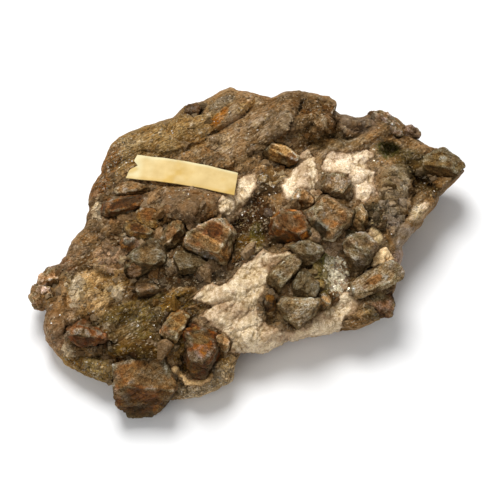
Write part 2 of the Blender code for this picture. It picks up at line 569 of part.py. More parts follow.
def crystal_block(name, crystal, collection, material=None, swell=0.0):
    """One crystal: a cube that is cut to its faces plane by plane, then set in its place."""
    normals, distances = crystal_planes(crystal)
    distances = distances + swell
    shape = bmesh.new()
    bmesh.ops.create_cube(shape, size=UNCUT)
    for normal, distance in zip(normals, distances):
        cut_away(shape, Vector(normal * distance), Vector(normal))
    place = Matrix.Translation(Vector(crystal_middle(crystal))) @ SIGHT_AXES.to_4x4()
    bmesh.ops.transform(shape, matrix=place, verts=shape.verts)
    return object_from_bmesh(name, shape, collection, material)


def make_crystals(collection, cutters, material):
    """Every crystal as its own solid, and the pockets that hold them."""
    pockets = []
    crystals = []
    for name, blocks in CRYSTALS.items():
        crystal = crystal_block(name, blocks[0], collection, material)
        for number, block in enumerate(blocks[1:], 2):
            partner = crystal_block(f"{name}_grown_{number}", block, cutters)
            hide_cutter(partner)
            boolean(crystal, partner, "UNION")
        for pocket in pockets:
            if close_by(crystal, pocket):
                boolean(crystal, pocket, "DIFFERENCE")
        for number, block in enumerate(blocks, 1):
            pocket = crystal_block(f"pocket_{name}_{number}", block, cutters, swell=GAP)
            hide_cutter(pocket)
            pockets.append(pocket)
        crystals.append(crystal)
    for crystal in crystals:
        settle(crystal)
    return crystals, pockets


def close_by(first, second):
    """True where the boxes of two objects' meshes meet."""
    boxes = []
    for item in (first, second):
        points = np.array([vertex.co[:] for vertex in item.data.vertices])
        boxes.append((points.min(0) - 2 * GAP, points.max(0) + 2 * GAP))
    (low_1, high_1), (low_2, high_2) = boxes
    return bool(np.all(low_1 < high_2) and np.all(low_2 < high_1))


def widened(outline, margin):
    """An outline whose corners are moved outwards by a margin, in grid steps."""
    points = np.array(outline, float)
    before = points - np.roll(points, 1, axis=0)
    after = np.roll(points, -1, axis=0) - points
    sides = [np.stack([way[:, 1], -way[:, 0]], 1) / np.linalg.norm(way, axis=1)[:, None]
             for way in (before, after)]
    middle = sides[0] + sides[1]
    middle /= (middle * sides[0]).sum(1)[:, None]
    area = (points[:, 0] * np.roll(points[:, 1], -1) - points[:, 1] * np.roll(points[:, 0], -1)).sum()
    return points + middle * margin * np.sign(area)


def slab(name, outline, low, high, collection):
    """A plate with a flat outline on the picture grid, which reaches towards the eye from the rock."""
    curve = bpy.data.curves.new(name, "CURVE")
    curve.dimensions = "2D"
    curve.fill_mode = "BOTH"
    curve.extrude = (high - low) / 2
    spline = curve.splines.new("POLY")
    spline.points.add(len(outline) - 1)
    middle = (low + high) / 2
    shrink = 1 - middle / EYE_DISTANCE
    for point, (column, row) in zip(spline.points, outline):
        across = (column - GRID_MIDDLE[0]) * STEP * shrink
        upward = (GRID_MIDDLE[1] - row) * STEP * shrink
        point.co = (across, upward, 0, 1)
    spline.use_cyclic_u = True
    guide = bpy.data.objects.new(name, curve)
    collection.objects.link(guide)
    graph = bpy.context.evaluated_depsgraph_get()
    mesh = bpy.data.meshes.new_from_object(guide.evaluated_get(graph))
    shape = bmesh.new()
    shape.from_mesh(mesh)
    bmesh.ops.remove_doubles(shape, verts=shape.verts, dist=0.00001)
    towards_eye = Vector((0, -COS_E, SIN_E))
    place = Matrix.Translation(MIDDLE + towards_eye * middle) @ SIGHT_AXES.to_4x4()
    bmesh.ops.transform(shape, matrix=place, verts=shape.verts)
    bpy.data.objects.remove(guide, do_unlink=True)
    return object_from_bmesh(name, shape, collection)


def make_quartz(collection, cutters, material):
    """Quartz lenses: plates that follow the rock's own surface, a little proud of it."""
    lenses = []
    pockets = []
    for name, (height, outline) in QUARTZ.items():
        middle = np.array(outline).mean(0)
        upward = (GRID_MIDDLE[1] - middle[1]) * STEP
        towards = (height * MM - MIDDLE.z - upward * COS_E) / SIN_E
        low = towards - QUARTZ_DEPTH
        high = towards + PLATE_RISE
        lens = rock(name, collection, material, QUARTZ_RISE)
        plate = slab(f"plate_{name}", outline, low, high, cutters)
        hide_cutter(plate)
        boolean(lens, plate, "INTERSECT")
        pocket = slab(f"pocket_{name}", widened(outline, GAP / STEP), low - GAP, high, cutters)
        hide_cutter(pocket)
        lenses.append(lens)
        pockets.append(pocket)
    return lenses, pockets


def make_label(collection, material):
    """The paper label: a grid laid between its corners over the rock, and given its thickness."""
    shape = bmesh.new()
    bmesh.ops.create_grid(shape, x_segments=LABEL_SQUARES[0], y_segments=LABEL_SQUARES[1], size=0.5)
    top_left, top_right, bottom_right, bottom_left = (np.array(spot) for spot in LABEL_CORNERS)
    flat = np.array([vertex.co[:] for vertex in shape.verts])
    along = flat[:, 0:1] + 0.5
    down = 0.5 - flat[:, 1:2]
    top = top_left + (top_right - top_left) * along
    bottom = bottom_left + (bottom_right - bottom_left) * along
    spots = top + (bottom - top) * down
    spots[:, 1] -= LABEL_ARCH * np.sin(along[:, 0] * math.pi)
    left_end = (along[:, 0] < 0.01) & (np.abs(down[:, 0] - 0.5) < 0.01)
    spots[left_end] = LABEL_NOTCH
    ground = surface_height(spots[:, 0], spots[:, 1])
    span = along[:, 0]
    slope = down[:, 0]
    sheet = np.stack([np.ones(len(span)), span, span ** 2, slope], axis=1)
    level = sheet @ np.linalg.lstsq(sheet, ground, rcond=None)[0]
    level += (ground - level).max() + LABEL_RISE
    height = level + LABEL_CURL * (1 - span) ** 4
    for vertex, point in zip(shape.verts, seen_at(spots[:, 0], spots[:, 1], height)):
        vertex.co = point
    label = object_from_bmesh("paper_label", shape, collection, material)
    thicken = label.modifiers.new("thickness", "SOLIDIFY")
    thicken.thickness = LABEL_THICKNESS
    thicken.offset = 1
    return label


def build():
    """The whole specimen: crystals and lenses first, then the rock with a pocket for each."""
    clear_scene()
    specimen = new_collection("staurolite_schist_specimen")
    cutters = new_collection("cutters")
    schist = new_material("schist", COLOURS["schist"], 0.85)
    staurolite = new_material("staurolite", COLOURS["staurolite"], 0.6)
    quartz = new_material("quartz", COLOURS["quartz"], 0.5)
    paper = new_material("paper", COLOURS["paper"], 0.8)
    crystals, crystal_pockets = make_crystals(specimen, cutters, staurolite)
    lenses, quartz_pockets = make_quartz(specimen, cutters, quartz)
    for lens in lenses:
        for pocket in crystal_pockets:
            boolean(lens, pocket, "DIFFERENCE")
        settle(lens)
    matrix = rock("schist_matrix", specimen, schist, 0)
    for pocket in crystal_pockets + quartz_pockets:
        boolean(matrix, pocket, "DIFFERENCE")
    settle(matrix)
    make_label(specimen, paper)


build()
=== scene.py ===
# %% [markdown]
# # A hand specimen of staurolite schist
# The real thing is a slab of mica schist. Blocky staurolite crystals stand in it, lenses of cream
# quartz run through it, and a small paper label is glued on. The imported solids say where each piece
# is. This lesson gives each of them its real skin: the broken rock, the pitted crystal faces, the
# sugary quartz and the old paper. Everything is in metres, +Z up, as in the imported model.

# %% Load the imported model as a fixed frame
import itertools
import math
from collections import namedtuple

import bpy
import numpy as np
from mathutils import Matrix, Vector


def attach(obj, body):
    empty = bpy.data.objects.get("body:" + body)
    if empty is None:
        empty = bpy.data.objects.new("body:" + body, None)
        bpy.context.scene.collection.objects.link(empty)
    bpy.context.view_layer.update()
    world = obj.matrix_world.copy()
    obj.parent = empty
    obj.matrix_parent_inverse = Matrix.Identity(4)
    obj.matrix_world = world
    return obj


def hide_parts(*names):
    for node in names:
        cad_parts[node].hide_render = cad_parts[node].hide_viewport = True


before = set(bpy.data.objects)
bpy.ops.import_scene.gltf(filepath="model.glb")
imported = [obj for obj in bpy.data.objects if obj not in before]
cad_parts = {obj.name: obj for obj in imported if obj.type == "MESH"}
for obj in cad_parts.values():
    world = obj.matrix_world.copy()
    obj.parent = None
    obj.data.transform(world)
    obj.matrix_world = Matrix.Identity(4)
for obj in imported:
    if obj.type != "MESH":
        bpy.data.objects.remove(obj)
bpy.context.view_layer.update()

MM = 0.001
print("nodes in the frame:", len(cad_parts))

# %% [markdown]
# ## A picture grid for places
# On a broken rock nothing is square, so a place is easiest to give as it is seen: a column and a row
# on a picture grid, and a height over the table. The eye looks from the front, 60 degrees above. One
# function turns such a spot into a point in space, and one turns a point back into its spot. The same
# grid sets the camera, so that what is given on the grid lands where the eye expects it.

# %% The picture grid
LENGTH = 175 * MM             # the specimen's width where the grid is measured
LEFT_COLUMN = 29.5
RIGHT_COLUMN = 467.6
GRID_MIDDLE = (249.0, 250.0)
STEP = LENGTH / (RIGHT_COLUMN - LEFT_COLUMN)
EYE_DISTANCE = 700 * MM
MIDDLE = np.array((-0.82, -4.76, 25.0)) * MM
SIGHT_ELEVATION = math.radians(60)
SIN_E = math.sin(SIGHT_ELEVATION)
COS_E = math.cos(SIGHT_ELEVATION)
SIGHT_AXES = np.array(((1, 0, 0), (0, SIN_E, -COS_E), (0, COS_E, SIN_E)))


def seen_at(column, row, height):
    """Point at a height over the table that is seen at a spot of the grid.

    The line of sight through the spot is followed until it reaches the height."""
    across = (np.asarray(column, float) - GRID_MIDDLE[0]) * STEP
    upward = (GRID_MIDDLE[1] - np.asarray(row, float)) * STEP
    towards = (height - MIDDLE[2] - upward * COS_E) / (SIN_E - upward * COS_E / EYE_DISTANCE)
    shrink = 1 - towards / EYE_DISTANCE
    x = MIDDLE[0] + across * shrink
    y = MIDDLE[1] + upward * SIN_E * shrink - towards * COS_E
    return np.stack([x, y, np.broadcast_to(height, np.shape(x))], axis=-1)


def grid_spot(points):
    """Column and row at which points are seen: seen_at() turned round."""
    across, upward, towards = ((points - MIDDLE) @ SIGHT_AXES).T
    shrink = 1 - towards / EYE_DISTANCE
    return GRID_MIDDLE[0] + across / shrink / STEP, GRID_MIDDLE[1] - upward / shrink / STEP


print("one step of the grid:", round(STEP / MM, 3), "mm")

# %% [markdown]
# ## Noise
# Rock is irregular at every size. Four kinds of noise are enough for it: sums of long waves for the
# ground (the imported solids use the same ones), smooth random lumps, grains, which are the cells around
# scattered seeds, and facets, where each such cell is a small face with a tilt of its own. All of them
# work on whole arrays of points and give the same result each run.

# %% Noise on arrays of points
DICE = np.random.RandomState(5).rand(8192, 8)


def waves(x, y, length, seed, count=7):
    """Waves of near one length that run every way, summed: about unit height."""
    dice = np.random.RandomState(seed)
    total = np.zeros(np.shape(x))
    for turn, stretch, phase in dice.rand(count, 3):
        angle = 2 * math.pi * turn
        size = length * (0.75 + 0.6 * stretch)
        along = (x * math.cos(angle) + y * math.sin(angle)) * 2 * math.pi / size
        total += np.sin(along + 2 * math.pi * phase)
    return total / math.sqrt(count)


def cell_dice(cells, seed):
    """Eight numbers from 0 to 1 for each whole-number cell: its mixed coordinates pick a row of dice."""
    mixed = cells[..., 0] * 73856093 ^ cells[..., 1] * 19349663 ^ cells[..., 2] * 83492791
    mixed = (((mixed + seed * 40503) & 0xFFFFFFFF) * 2654435761) & 0xFFFFFFFF
    return DICE[mixed >> 19]


def lumps(points, size, seed, octaves=1):
    """Smooth noise from -1 to 1: random heights on a lattice of one size, blended in between.

    Each further octave is half as large and adds a little over half as much."""
    total = np.zeros(points.shape[:-1])
    weight_sum = 0.0
    for octave in range(octaves):
        spot = points / (size / 2 ** octave) + 17.3 * octave
        cell = np.floor(spot).astype(np.int64)
        part = spot - cell
        blend = part * part * (3 - 2 * part)
        share = 0.55 ** octave
        weight_sum += share
        for corner in itertools.product((0, 1), repeat=3):
            weight = np.prod(np.where(corner, blend, 1 - blend), axis=-1)
            total += share * weight * (2 * cell_dice(cell + corner, seed + octave)[..., 0] - 1)
    return total / weight_sum


def grains(points, size, seed):
    """Cells around scattered seeds, one seed in each cube of the lattice.

    Gives the distance to the nearest seed, the distance to the wall between the two nearest, both
    in sizes, and a number from 0 to 1 that belongs to the nearest seed."""
    spot = points / size
    home = np.floor(spot).astype(np.int64)
    nearest = np.full(spot.shape[:-1], 9.0)
    second = nearest.copy()
    number = np.zeros(spot.shape[:-1])
    for offset in itertools.product((-1, 0, 1), repeat=3):
        cell = home + offset
        dice = cell_dice(cell, seed)
        apart = np.linalg.norm(cell + dice[..., :3] - spot, axis=-1)
        closer = apart < nearest
        second = np.where(closer, nearest, np.minimum(second, apart))
        number = np.where(closer, dice[..., 3], number)
        nearest = np.where(closer, apart, nearest)
    return nearest, second - nearest, number


def facets(points, size, seed):
    """Broken ground from about -0.5 to 0.5: at each spot the highest of the tilted faces around it.

    The face of a seed at s has the height tilt . (p - s) - 0.6 |p - s|^2 + a number of its own."""
    spot = points / size
    home = np.floor(spot).astype(np.int64)
    highest = np.full(spot.shape[:-1], -9.0)
    for offset in itertools.product((-1, 0, 1), repeat=3):
        cell = home + offset
        dice = cell_dice(cell, seed)
        away = spot - cell - dice[..., :3]
        tilted = ((2 * dice[..., 3:6] - 1) * away).sum(-1)
        highest = np.maximum(highest, tilted - 0.6 * (away ** 2).sum(-1) + 0.6 * dice[..., 6])
    return highest - 0.55


def facet_layers(points, layers, seed):
    """Facets of several sizes, summed: each layer is a size in mm and a height."""
    return sum(height * facets(points, size * MM, seed + number)
               for number, (size, height) in enumerate(layers))


def ramp(value, low, high):
    """0 below low, 1 above high, and a smooth curve in between."""
    part = np.clip((value - low) / (high - low), 0, 1)
    return part * part * (3 - 2 * part)


print("random numbers behind the noise:", DICE.size)

# %% [markdown]
# ## From arrays to meshes
# Each skin is a grid of points that a formula has put in place. A few helpers make such grids, work out
# which way a skin faces at each point, so that relief can be pushed straight out of it, and turn the
# arrays into a Blender mesh with values such as a tint on its points.

# %% Mesh helpers
def facing(points, quads):
    """Unit normal at each point: the normals of the squares around it, weighted by area, summed."""
    diagonal_1 = points[quads[:, 2]] - points[quads[:, 0]]
    diagonal_2 = points[quads[:, 3]] - points[quads[:, 1]]
    square = np.cross(diagonal_1, diagonal_2)
    total = np.zeros_like(points)
    for axis in range(3):
        shares = np.repeat(square[:, axis], 4)
        total[:, axis] = np.bincount(quads.ravel(), weights=shares, minlength=len(points))
    return total / np.maximum(np.linalg.norm(total, axis=1), 1e-12)[:, None]


def grid_quads(index, wrap=False):
    """The squares between neighbours of a two-dimensional array of point numbers."""
    if wrap:
        index = np.concatenate([index, index[:, :1]], axis=1)
    corners = (index[:-1, :-1], index[1:, :-1], index[1:, 1:], index[:-1, 1:])
    return np.stack(corners, axis=-1).reshape(-1, 4)


def border(index):
    """The outermost points of a square array in order, counter-clockwise."""
    return np.concatenate([index[:-1, 0], index[-1, :-1], index[:0:-1, -1], index[0, :0:-1]])


def closed_sheet(upper, lower, index):
    """Points and squares of a thin closed piece: two like grids of points and the wall between them."""
    quads = grid_quads(index)[:, ::-1]
    rim = border(index)
    walls = grid_quads(np.stack([rim, rim + len(upper)]), wrap=True)[:, ::-1]
    return np.concatenate([upper, lower]), np.concatenate([quads, quads[:, ::-1] + len(upper), walls])


def box_grid(counts):
    """A closed box's grid points, from -1 to 1 on each axis, and the squares between them."""
    places = []
    squares = []
    start = 0
    for axis in range(3):
        along = (axis + 1) % 3
        across = (axis + 2) % 3
        u, v = np.meshgrid(np.arange(counts[along] + 1), np.arange(counts[across] + 1), indexing="ij")
        for end in (0, counts[axis]):
            place = np.zeros((u.size, 3), int)
            place[:, axis] = end
            place[:, along] = u.ravel()
            place[:, across] = v.ravel()
            quads = grid_quads(np.arange(u.size).reshape(u.shape) + start)
            squares.append(quads if end else quads[:, ::-1])
            places.append(place)
            start += u.size
    lattice, merged = np.unique(np.concatenate(places), axis=0, return_inverse=True)
    return lattice / np.array(counts) * 2 - 1, merged.ravel()[np.concatenate(squares)]


def make_piece(name, points, quads, material, values=None, smooth=True):
    """A mesh object at the origin, with its place in its mesh and values on its points.

    An array of numbers becomes a float attribute, an array of triples a colour attribute."""
    mesh = bpy.data.meshes.new(name)
    mesh.vertices.add(len(points))
    mesh.vertices.foreach_set("co", points.astype(np.float32).ravel())
    mesh.loops.add(quads.size)
    mesh.loops.foreach_set("vertex_index", quads.astype(np.int32).ravel())
    mesh.polygons.add(len(quads))
    mesh.polygons.foreach_set("loop_start", np.arange(0, quads.size, quads.shape[1], dtype=np.int32))
    mesh.update(calc_edges=True)
    for label, value in (values or {}).items():
        if value.ndim == 2:
            attribute = mesh.attributes.new(label, "FLOAT_COLOR", "POINT")
            colours = np.concatenate([value, np.ones((len(value), 1))], axis=1)
            attribute.data.foreach_set("color", colours.astype(np.float32).ravel())
        else:
            attribute = mesh.attributes.new(label, "FLOAT", "POINT")
            attribute.data.foreach_set("value", value.astype(np.float32))
    if smooth:
        mesh.shade_smooth()
    else:
        mesh.shade_flat()
    mesh.materials.append(material)
    item = bpy.data.objects.new(name, mesh)
    bpy.context.scene.collection.objects.link(item)
    return item


def hand_in(item, slot, *nodes):
    """Fix a finished piece to the specimen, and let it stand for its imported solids."""
    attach(item, "root")
    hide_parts(*nodes)
    triangles = sum(len(face.vertices) - 2 for face in item.data.polygons)
    print(f"{item.name}: {triangles} triangles")


# %% [markdown]
# ## Colours and nodes
# Colours are written as sRGB hex values, as they would be picked from a swatch, and one function turns
# them into the linear values that Blender computes with. A material is a tree of nodes: noise, cells, a
# colour laid over another, a relief. Each kind that the rock needs gets a small function here, so that
# a finish further down reads as a list of its layers.

# %% Colour helpers
WARMING = np.array((0.8, 1.0, 1.45))     # powers of the brightness in red, green and blue


def linear(colour):
    """The linear red, green and blue of an sRGB hex colour such as "#7c5e3b"."""
    levels = np.array([int(colour[place:place + 2], 16) for place in (1, 3, 5)]) / 255
    return np.where(levels <= 0.04045, levels / 12.92, ((levels + 0.055) / 1.055) ** 2.4)


def plain(colour, count):
    """One colour for a number of points."""
    return np.tile(linear(colour), (count, 1))


def covered(tint, colour, share):
    """Tints with another colour, hex or linear, laid over them by a share at each point."""
    if isinstance(colour, str):
        colour = linear(colour)
    return tint + (colour - tint) * share[:, None]


def shaded(tint, brightness):
    """Tints made lighter or darker, by their own tone and by painted shade. What gets darker also gets
    redder.
    """
    return tint * np.clip(brightness, 0.02, None)[:, None] ** WARMING


print("mid brown, linear:", linear("#7c5e3b").round(3))

# %% Node helpers
NOISE_RANGE = (0.32, 0.68)    # where nearly all values of the noise lie


def connect(tree, node, inputs):
    """Set a node's inputs: values go onto its own sockets, sockets of other nodes are linked."""
    for name, value in inputs.items():
        socket = node.inputs[name]
        if isinstance(value, bpy.types.NodeSocket):
            tree.links.new(value, socket)
        else:
            socket.default_value = value


def add(tree, kind, inputs=None, **settings):
    """Add a node with its settings and inputs."""
    node = tree.nodes.new("ShaderNode" + kind)
    for name, value in settings.items():
        setattr(node, name, value)
    connect(tree, node, inputs or {})
    return node


def new_material(name):
    """An empty material with its tree, its Principled shader and the object's coordinates."""
    material = bpy.data.materials.new(name)
    material.use_nodes = True
    tree = material.node_tree
    shader = tree.nodes["Principled BSDF"]
    place = add(tree, "TexCoord").outputs["Object"]
    return material, tree, shader, place


def mesh_value(tree, name, output="Color"):
    """A value that the mesh carries on its points."""
    return add(tree, "Attribute", attribute_name=name).outputs[output]


def maths(tree, operation, first, second=0.0):
    """One operation on two numbers."""
    return add(tree, "Math", {0: first, 1: second}, operation=operation).outputs[0]


def times(tree, first, *others):
    """The product of several numbers."""
    for other in others:
        first = maths(tree, "MULTIPLY", first, other)
    return first


def over(tree, value, limit):
    """1 where a value is over a limit, and 0 elsewhere."""
    return maths(tree, "GREATER_THAN", value, limit)


def vector(tree, operation, first, second=(0.0, 0.0, 0.0)):
    """One operation on two vectors."""
    return add(tree, "VectorMath", {0: first, 1: second}, operation=operation).outputs[0]


def carried(tree, value, start, end, low, high):
    """A value mapped so that start becomes low and end becomes high, and held between them."""
    return add(tree, "MapRange", {"Value": value, "From Min": start, "From Max": end,
                                  "To Min": low, "To Max": high}).outputs["Result"]


def grey_noise(tree, place, size, detail=3.0, roughness=0.7, distortion=0.0):
    """Noise from 0 to 1 with lumps of a size in metres."""
    return add(tree, "TexNoise", {"Vector": place, "Scale": 1 / size, "Detail": detail,
                                  "Roughness": roughness, "Distortion": distortion}).outputs["Fac"]


def light_noise(tree, place, size, detail, low, high):
    """Noise, and the same noise mapped to run from low to high."""
    grey = grey_noise(tree, place, size, detail)
    return grey, carried(tree, grey, *NOISE_RANGE, low, high)


def grain_cells(tree, place, size):
    """Cells of a size in metres: their node, and three random numbers of each cell."""
    node = add(tree, "TexVoronoi", {"Vector": place, "Scale": 1 / size})
    return node, add(tree, "SeparateColor", {"Color": node.outputs["Color"]}).outputs


def mixed(tree, share, under, upper):
    """A number with another one laid over it by a share."""
    return add(tree, "Mix", {0: share, 2: under, 3: upper}, data_type="FLOAT").outputs[0]


def laid_over(tree, under, upper, share):
    """A colour with another one, hex or a socket, laid over it by a share."""
    if isinstance(upper, str):
        upper = (*linear(upper), 1)
    return add(tree, "Mix", {0: share, 6: under, 7: upper}, data_type="RGBA").outputs[2]


def shaded_by(tree, tint, light):
    """The same as shaded(), for a tint and a light value of a material."""
    powers = [maths(tree, "POWER", light, float(power)) for power in WARMING]
    return vector(tree, "MULTIPLY", tint, add(tree, "CombineXYZ", dict(zip("XYZ", powers))).outputs[0])


def relief_normal(tree, *reliefs):
    """The normal after several reliefs from coarse to fine: height, strength, depth in metres."""
    before = {}
    for height, strength, depth in reliefs:
        bump = add(tree, "Bump", {"Height": height, "Strength": strength, "Distance": depth, **before})
        before = {"Normal": bump.outputs[0]}
    return before["Normal"]


print("noise is spread over", NOISE_RANGE)

# %% [markdown]
# ## Finish: weathered mica schist
# Mica schist is a felt of mica flakes with grains of quartz, pressed into thin sheets. Where it is
# broken it is matt and speckled: dark biotite, olive mica, pale grains, and here and there a flake
# that happens to mirror the light. The tint of each region comes with the mesh. The material adds
# what is finer than the mesh: the speckle, the grit in the surface and the flakes.

# %% Schist material
SPECKLE = 0.9 * MM            # grains of mica and quartz, drawn twice their size so that they show
DUST = 0.42 * MM              # the finest grain, one step of the picture grid, drawn coarser than it is
GRIT = 0.5 * MM
BIT = 0.75 * MM               # single dark and pale grains
FLAKE = 0.8 * MM              # mica flakes that catch the light
CLOUD = 2.2 * MM
PATCH = 5 * MM                # patches that are grainier than others
LINE_WIDTH = 0.7 * MM         # edges of the thinnest sheets, drawn wider than they are
SHEET_STRENGTH = 0.8
LAYERING = SIGHT_AXES @ np.array(((0.866, -0.5, 0.0), (0.5, 0.866, 0.0), (0.0, 0.0, 1.0)))


def along_layers(tree, place):
    """The object's coordinates turned to the layering and drawn out along it."""
    parts = []
    for axis, stretch in zip(LAYERING.T, (0.1, 1.0, 1.0)):
        way = tuple(float(part) for part in axis * stretch)
        parts.append(add(tree, "VectorMath", {0: place, 1: way}, operation="DOT_PRODUCT").outputs["Value"])
    return add(tree, "CombineXYZ", dict(zip("XYZ", parts))).outputs[0]


def glinting(tree, normal, flakes, flake):
    """The normal, tilted by a random vector of its own where there is a flake."""
    tilt = vector(tree, "SUBTRACT", flakes.outputs["Color"], (0.5, 0.5, 0.5))
    tilted = add(tree, "VectorMath", {0: tilt, "Scale": flake}, operation="SCALE").outputs[0]
    return vector(tree, "NORMALIZE", vector(tree, "ADD", normal, tilted))


def schist_material():
    """Broken schist: rough, grainy, dull, with glinting flakes where the mesh says mica."""
    material, tree, shader, place = new_material("mica_schist_broken")
    grain_share = mesh_value(tree, "grain", "Fac")
    sheet_share = times(tree, mesh_value(tree, "sheets", "Fac"), SHEET_STRENGTH)
    line = grey_noise(tree, along_layers(tree, place), LINE_WIDTH, 2.0, 0.6)
    lined = carried(tree, line, 0.35, 0.65, 0.24, 1.85)
    cloud, broad = light_noise(tree, place, CLOUD, 4.0, 0.75, 1.28)
    _, shade = light_noise(tree, place, SPECKLE, 3.0, 0.45, 1.55)
    _, fine_shade = light_noise(tree, place, DUST, 1.0, 0.35, 1.65)
    _, patchy = light_noise(tree, place, PATCH, 2.0, 0.3, 1.15)
    speckled = times(tree, shade, fine_shade)
    grainy = mixed(tree, times(tree, patchy, grain_share), 1.0, speckled)
    light = times(tree, mixed(tree, sheet_share, grainy, lined), broad)
    toned = shaded_by(tree, mesh_value(tree, "tint"), light)
    _, bit_dice = grain_cells(tree, place, BIT)
    darker = laid_over(tree, toned, "#241a10", times(tree, over(tree, bit_dice[0], 0.88), grain_share, 0.6))
    paler = laid_over(tree, darker, "#b59c78", times(tree, over(tree, bit_dice[1], 0.91), grain_share, 0.5))
    flakes, flake_dice = grain_cells(tree, place, FLAKE)
    bare = maths(tree, "SUBTRACT", 1.0, mesh_value(tree, "mica", "Fac"))
    flake = over(tree, flake_dice[2], bare)
    grit = grey_noise(tree, place, GRIT)
    normal = relief_normal(tree, (cloud, 1.0, 1.2 * MM), (line, sheet_share, 0.6 * MM), (grit, 1.0, 0.4 * MM))
    connect(tree, shader, {
        "Base Color": laid_over(tree, paler, "#b39b66", times(tree, flake, 0.7)),
        "Roughness": carried(tree, flake, 0.0, 1.0, 0.82, 0.22),
        "Specular IOR Level": 0.15, "Specular Tint": (1.0, 0.86, 0.6, 1.0), "IOR": 1.58,
        "Normal": glinting(tree, normal, flakes, flake)})
    return material


SCHIST = schist_material()
print("material:", SCHIST.name)

# %% [markdown]
# ## Finish: mica
# A mica plate is glassy and smooth, and it mirrors light like a scrap of foil. The flakes are separate
# small shapes, so their own tilts make them glint, and the material stays simple.

# %% Mica material
def mica_material():
    """Cleaved mica: a smooth plate with a pearly sheen over its own tint."""
    material, tree, shader, place = new_material("mica_cleaved")
    shade = carried(tree, grey_noise(tree, place, 0.4 * MM, 2.0, 0.5), 0.3, 0.7, 0.7, 1.25)
    connect(tree, shader, {
        "Base Color": shaded_by(tree, mesh_value(tree, "tint"), shade),
        "Roughness": 0.28, "Specular IOR Level": 0.8, "IOR": 1.6, "Metallic": 0.1})
    return material


MICA = mica_material()
print("material:", MICA.name)

# %% [markdown]
# ## Finish: staurolite
# Staurolite grows in the rock as hard stubby crystals. Their faces are dull, grey-brown and pitted,
# because grains of quartz that they had swallowed have fallen out, and iron has stained many of them
# rust. The stain, the worn edges with their painted highlight and the painted shade come with the mesh;
# the speckle and the pits, dark spots of painted shade, come from the material.

# %% Staurolite material
STREAK = 0.9 * MM
PIT = 0.9 * MM                # pits of the faces, painted as dark spots of shade, drawn a little larger than they are
STAIN_CLOUD = 2.4 * MM
PALE_CORE = (1.7, 1.8, 2.0)   # grains that are still in their pits, against the crystal's own tint


def staurolite_material():
    """Dull pitted crystal faces, streaked along the crystal, with a faint glassy sheen."""
    material, tree, shader, place = new_material("staurolite_pitted")
    tint = mesh_value(tree, "tint")
    streak, streaked = light_noise(tree, mesh_value(tree, "own", "Vector"), STREAK, 4.0, 0.42, 1.65)
    dust, fine_shade = light_noise(tree, place, DUST, 1.0, 0.4, 1.6)
    cloud, broad = light_noise(tree, place, STAIN_CLOUD, 4.0, 0.62, 1.42)
    toned = shaded_by(tree, tint, times(tree, streaked, broad, fine_shade))
    pits, dice = grain_cells(tree, place, PIT)
    core = carried(tree, pits.outputs["Distance"], 0.2, 0.5, 1.0, 0.0)
    # Painted shade: dark spots where the pits are.
    pit_shaded = laid_over(tree, toned, "#231a12", times(tree, core, over(tree, dice[1], 0.7), 0.6))
    paler = vector(tree, "MULTIPLY", tint, PALE_CORE)
    colour = laid_over(tree, pit_shaded, paler, times(tree, core, over(tree, dice[0], 0.86), 0.7))
    connect(tree, shader, {
        "Base Color": colour,
        "Roughness": carried(tree, streak, 0.3, 0.7, 0.55, 0.85),
        "Specular IOR Level": 0.22, "Specular Tint": (1.0, 0.8, 0.5, 1.0), "IOR": 1.74,
        "Normal": relief_normal(tree, (cloud, 1.0, 1.1 * MM), (streak, 1.0, 0.6 * MM),
                                (dust, 0.8, 0.3 * MM))})
    return material


STAUROLITE = staurolite_material()
print("material:", STAUROLITE.name)

# %% [markdown]
# ## Finish: granular quartz
# Vein quartz that has been squeezed with its rock is sugary: small glassy grains, cream to white, with
# tan and brown stains along the cracks. Its hollows are painted darker and warmer than its faces, as shade.

# %% Quartz material
SUGAR = 1.3 * MM              # quartz grains
SUGAR_SHADE = 0.8 * MM
CRACK_SPACING = 3.0 * MM


def quartz_material():
    """Cream granular quartz: soft sheen, stained seams between the grains.

    A seam runs where a noise passes 0.5, so that the seams join up as cracks do."""
    material, tree, shader, place = new_material("vein_quartz_granular")
    grain, dice = grain_cells(tree, place, SUGAR)
    speck, coarse_shade = light_noise(tree, place, SUGAR_SHADE, 4.0, 0.78, 1.16)
    _, fine_shade = light_noise(tree, place, DUST, 1.0, 0.7, 1.2)
    toned = shaded_by(tree, mesh_value(tree, "tint"), times(tree, coarse_shade, fine_shade))
    cracks = grey_noise(tree, place, CRACK_SPACING, 5.0, distortion=0.8)
    apart = maths(tree, "ABSOLUTE", maths(tree, "SUBTRACT", cracks, 0.5))
    stained = laid_over(tree, toned, "#6b4524", carried(tree, apart, 0.003, 0.02, 0.65, 0.0))
    connect(tree, shader, {
        "Base Color": laid_over(tree, stained, "#7a5f45", times(tree, over(tree, dice[0], 0.93), 0.45)),
        "Roughness": 0.5, "Specular IOR Level": 0.4, "IOR": 1.54,
        "Normal": relief_normal(tree, (grain.outputs["Distance"], 0.5, 0.4 * MM), (speck, 0.7, 0.35 * MM))})
    return material


QUARTZ_STONE = quartz_material()
print("material:", QUARTZ_STONE.name)

# %% [markdown]
# ## The shape of the rock
# The slab was split from its layer, so it has a worn upper side, a rim that falls away steeply at the
# back and rounds off at the front, and a flat face to lie on. Its surface could be sculpted by hand,
# but a formula keeps every part of it adjustable: heights are given at a few dozen spots and blended,
# then named ridges and hollows are added. A spot inside the rim is given by its share of the way from
# the hub to the rim, and past the rim the same share runs on down the side to the underside.

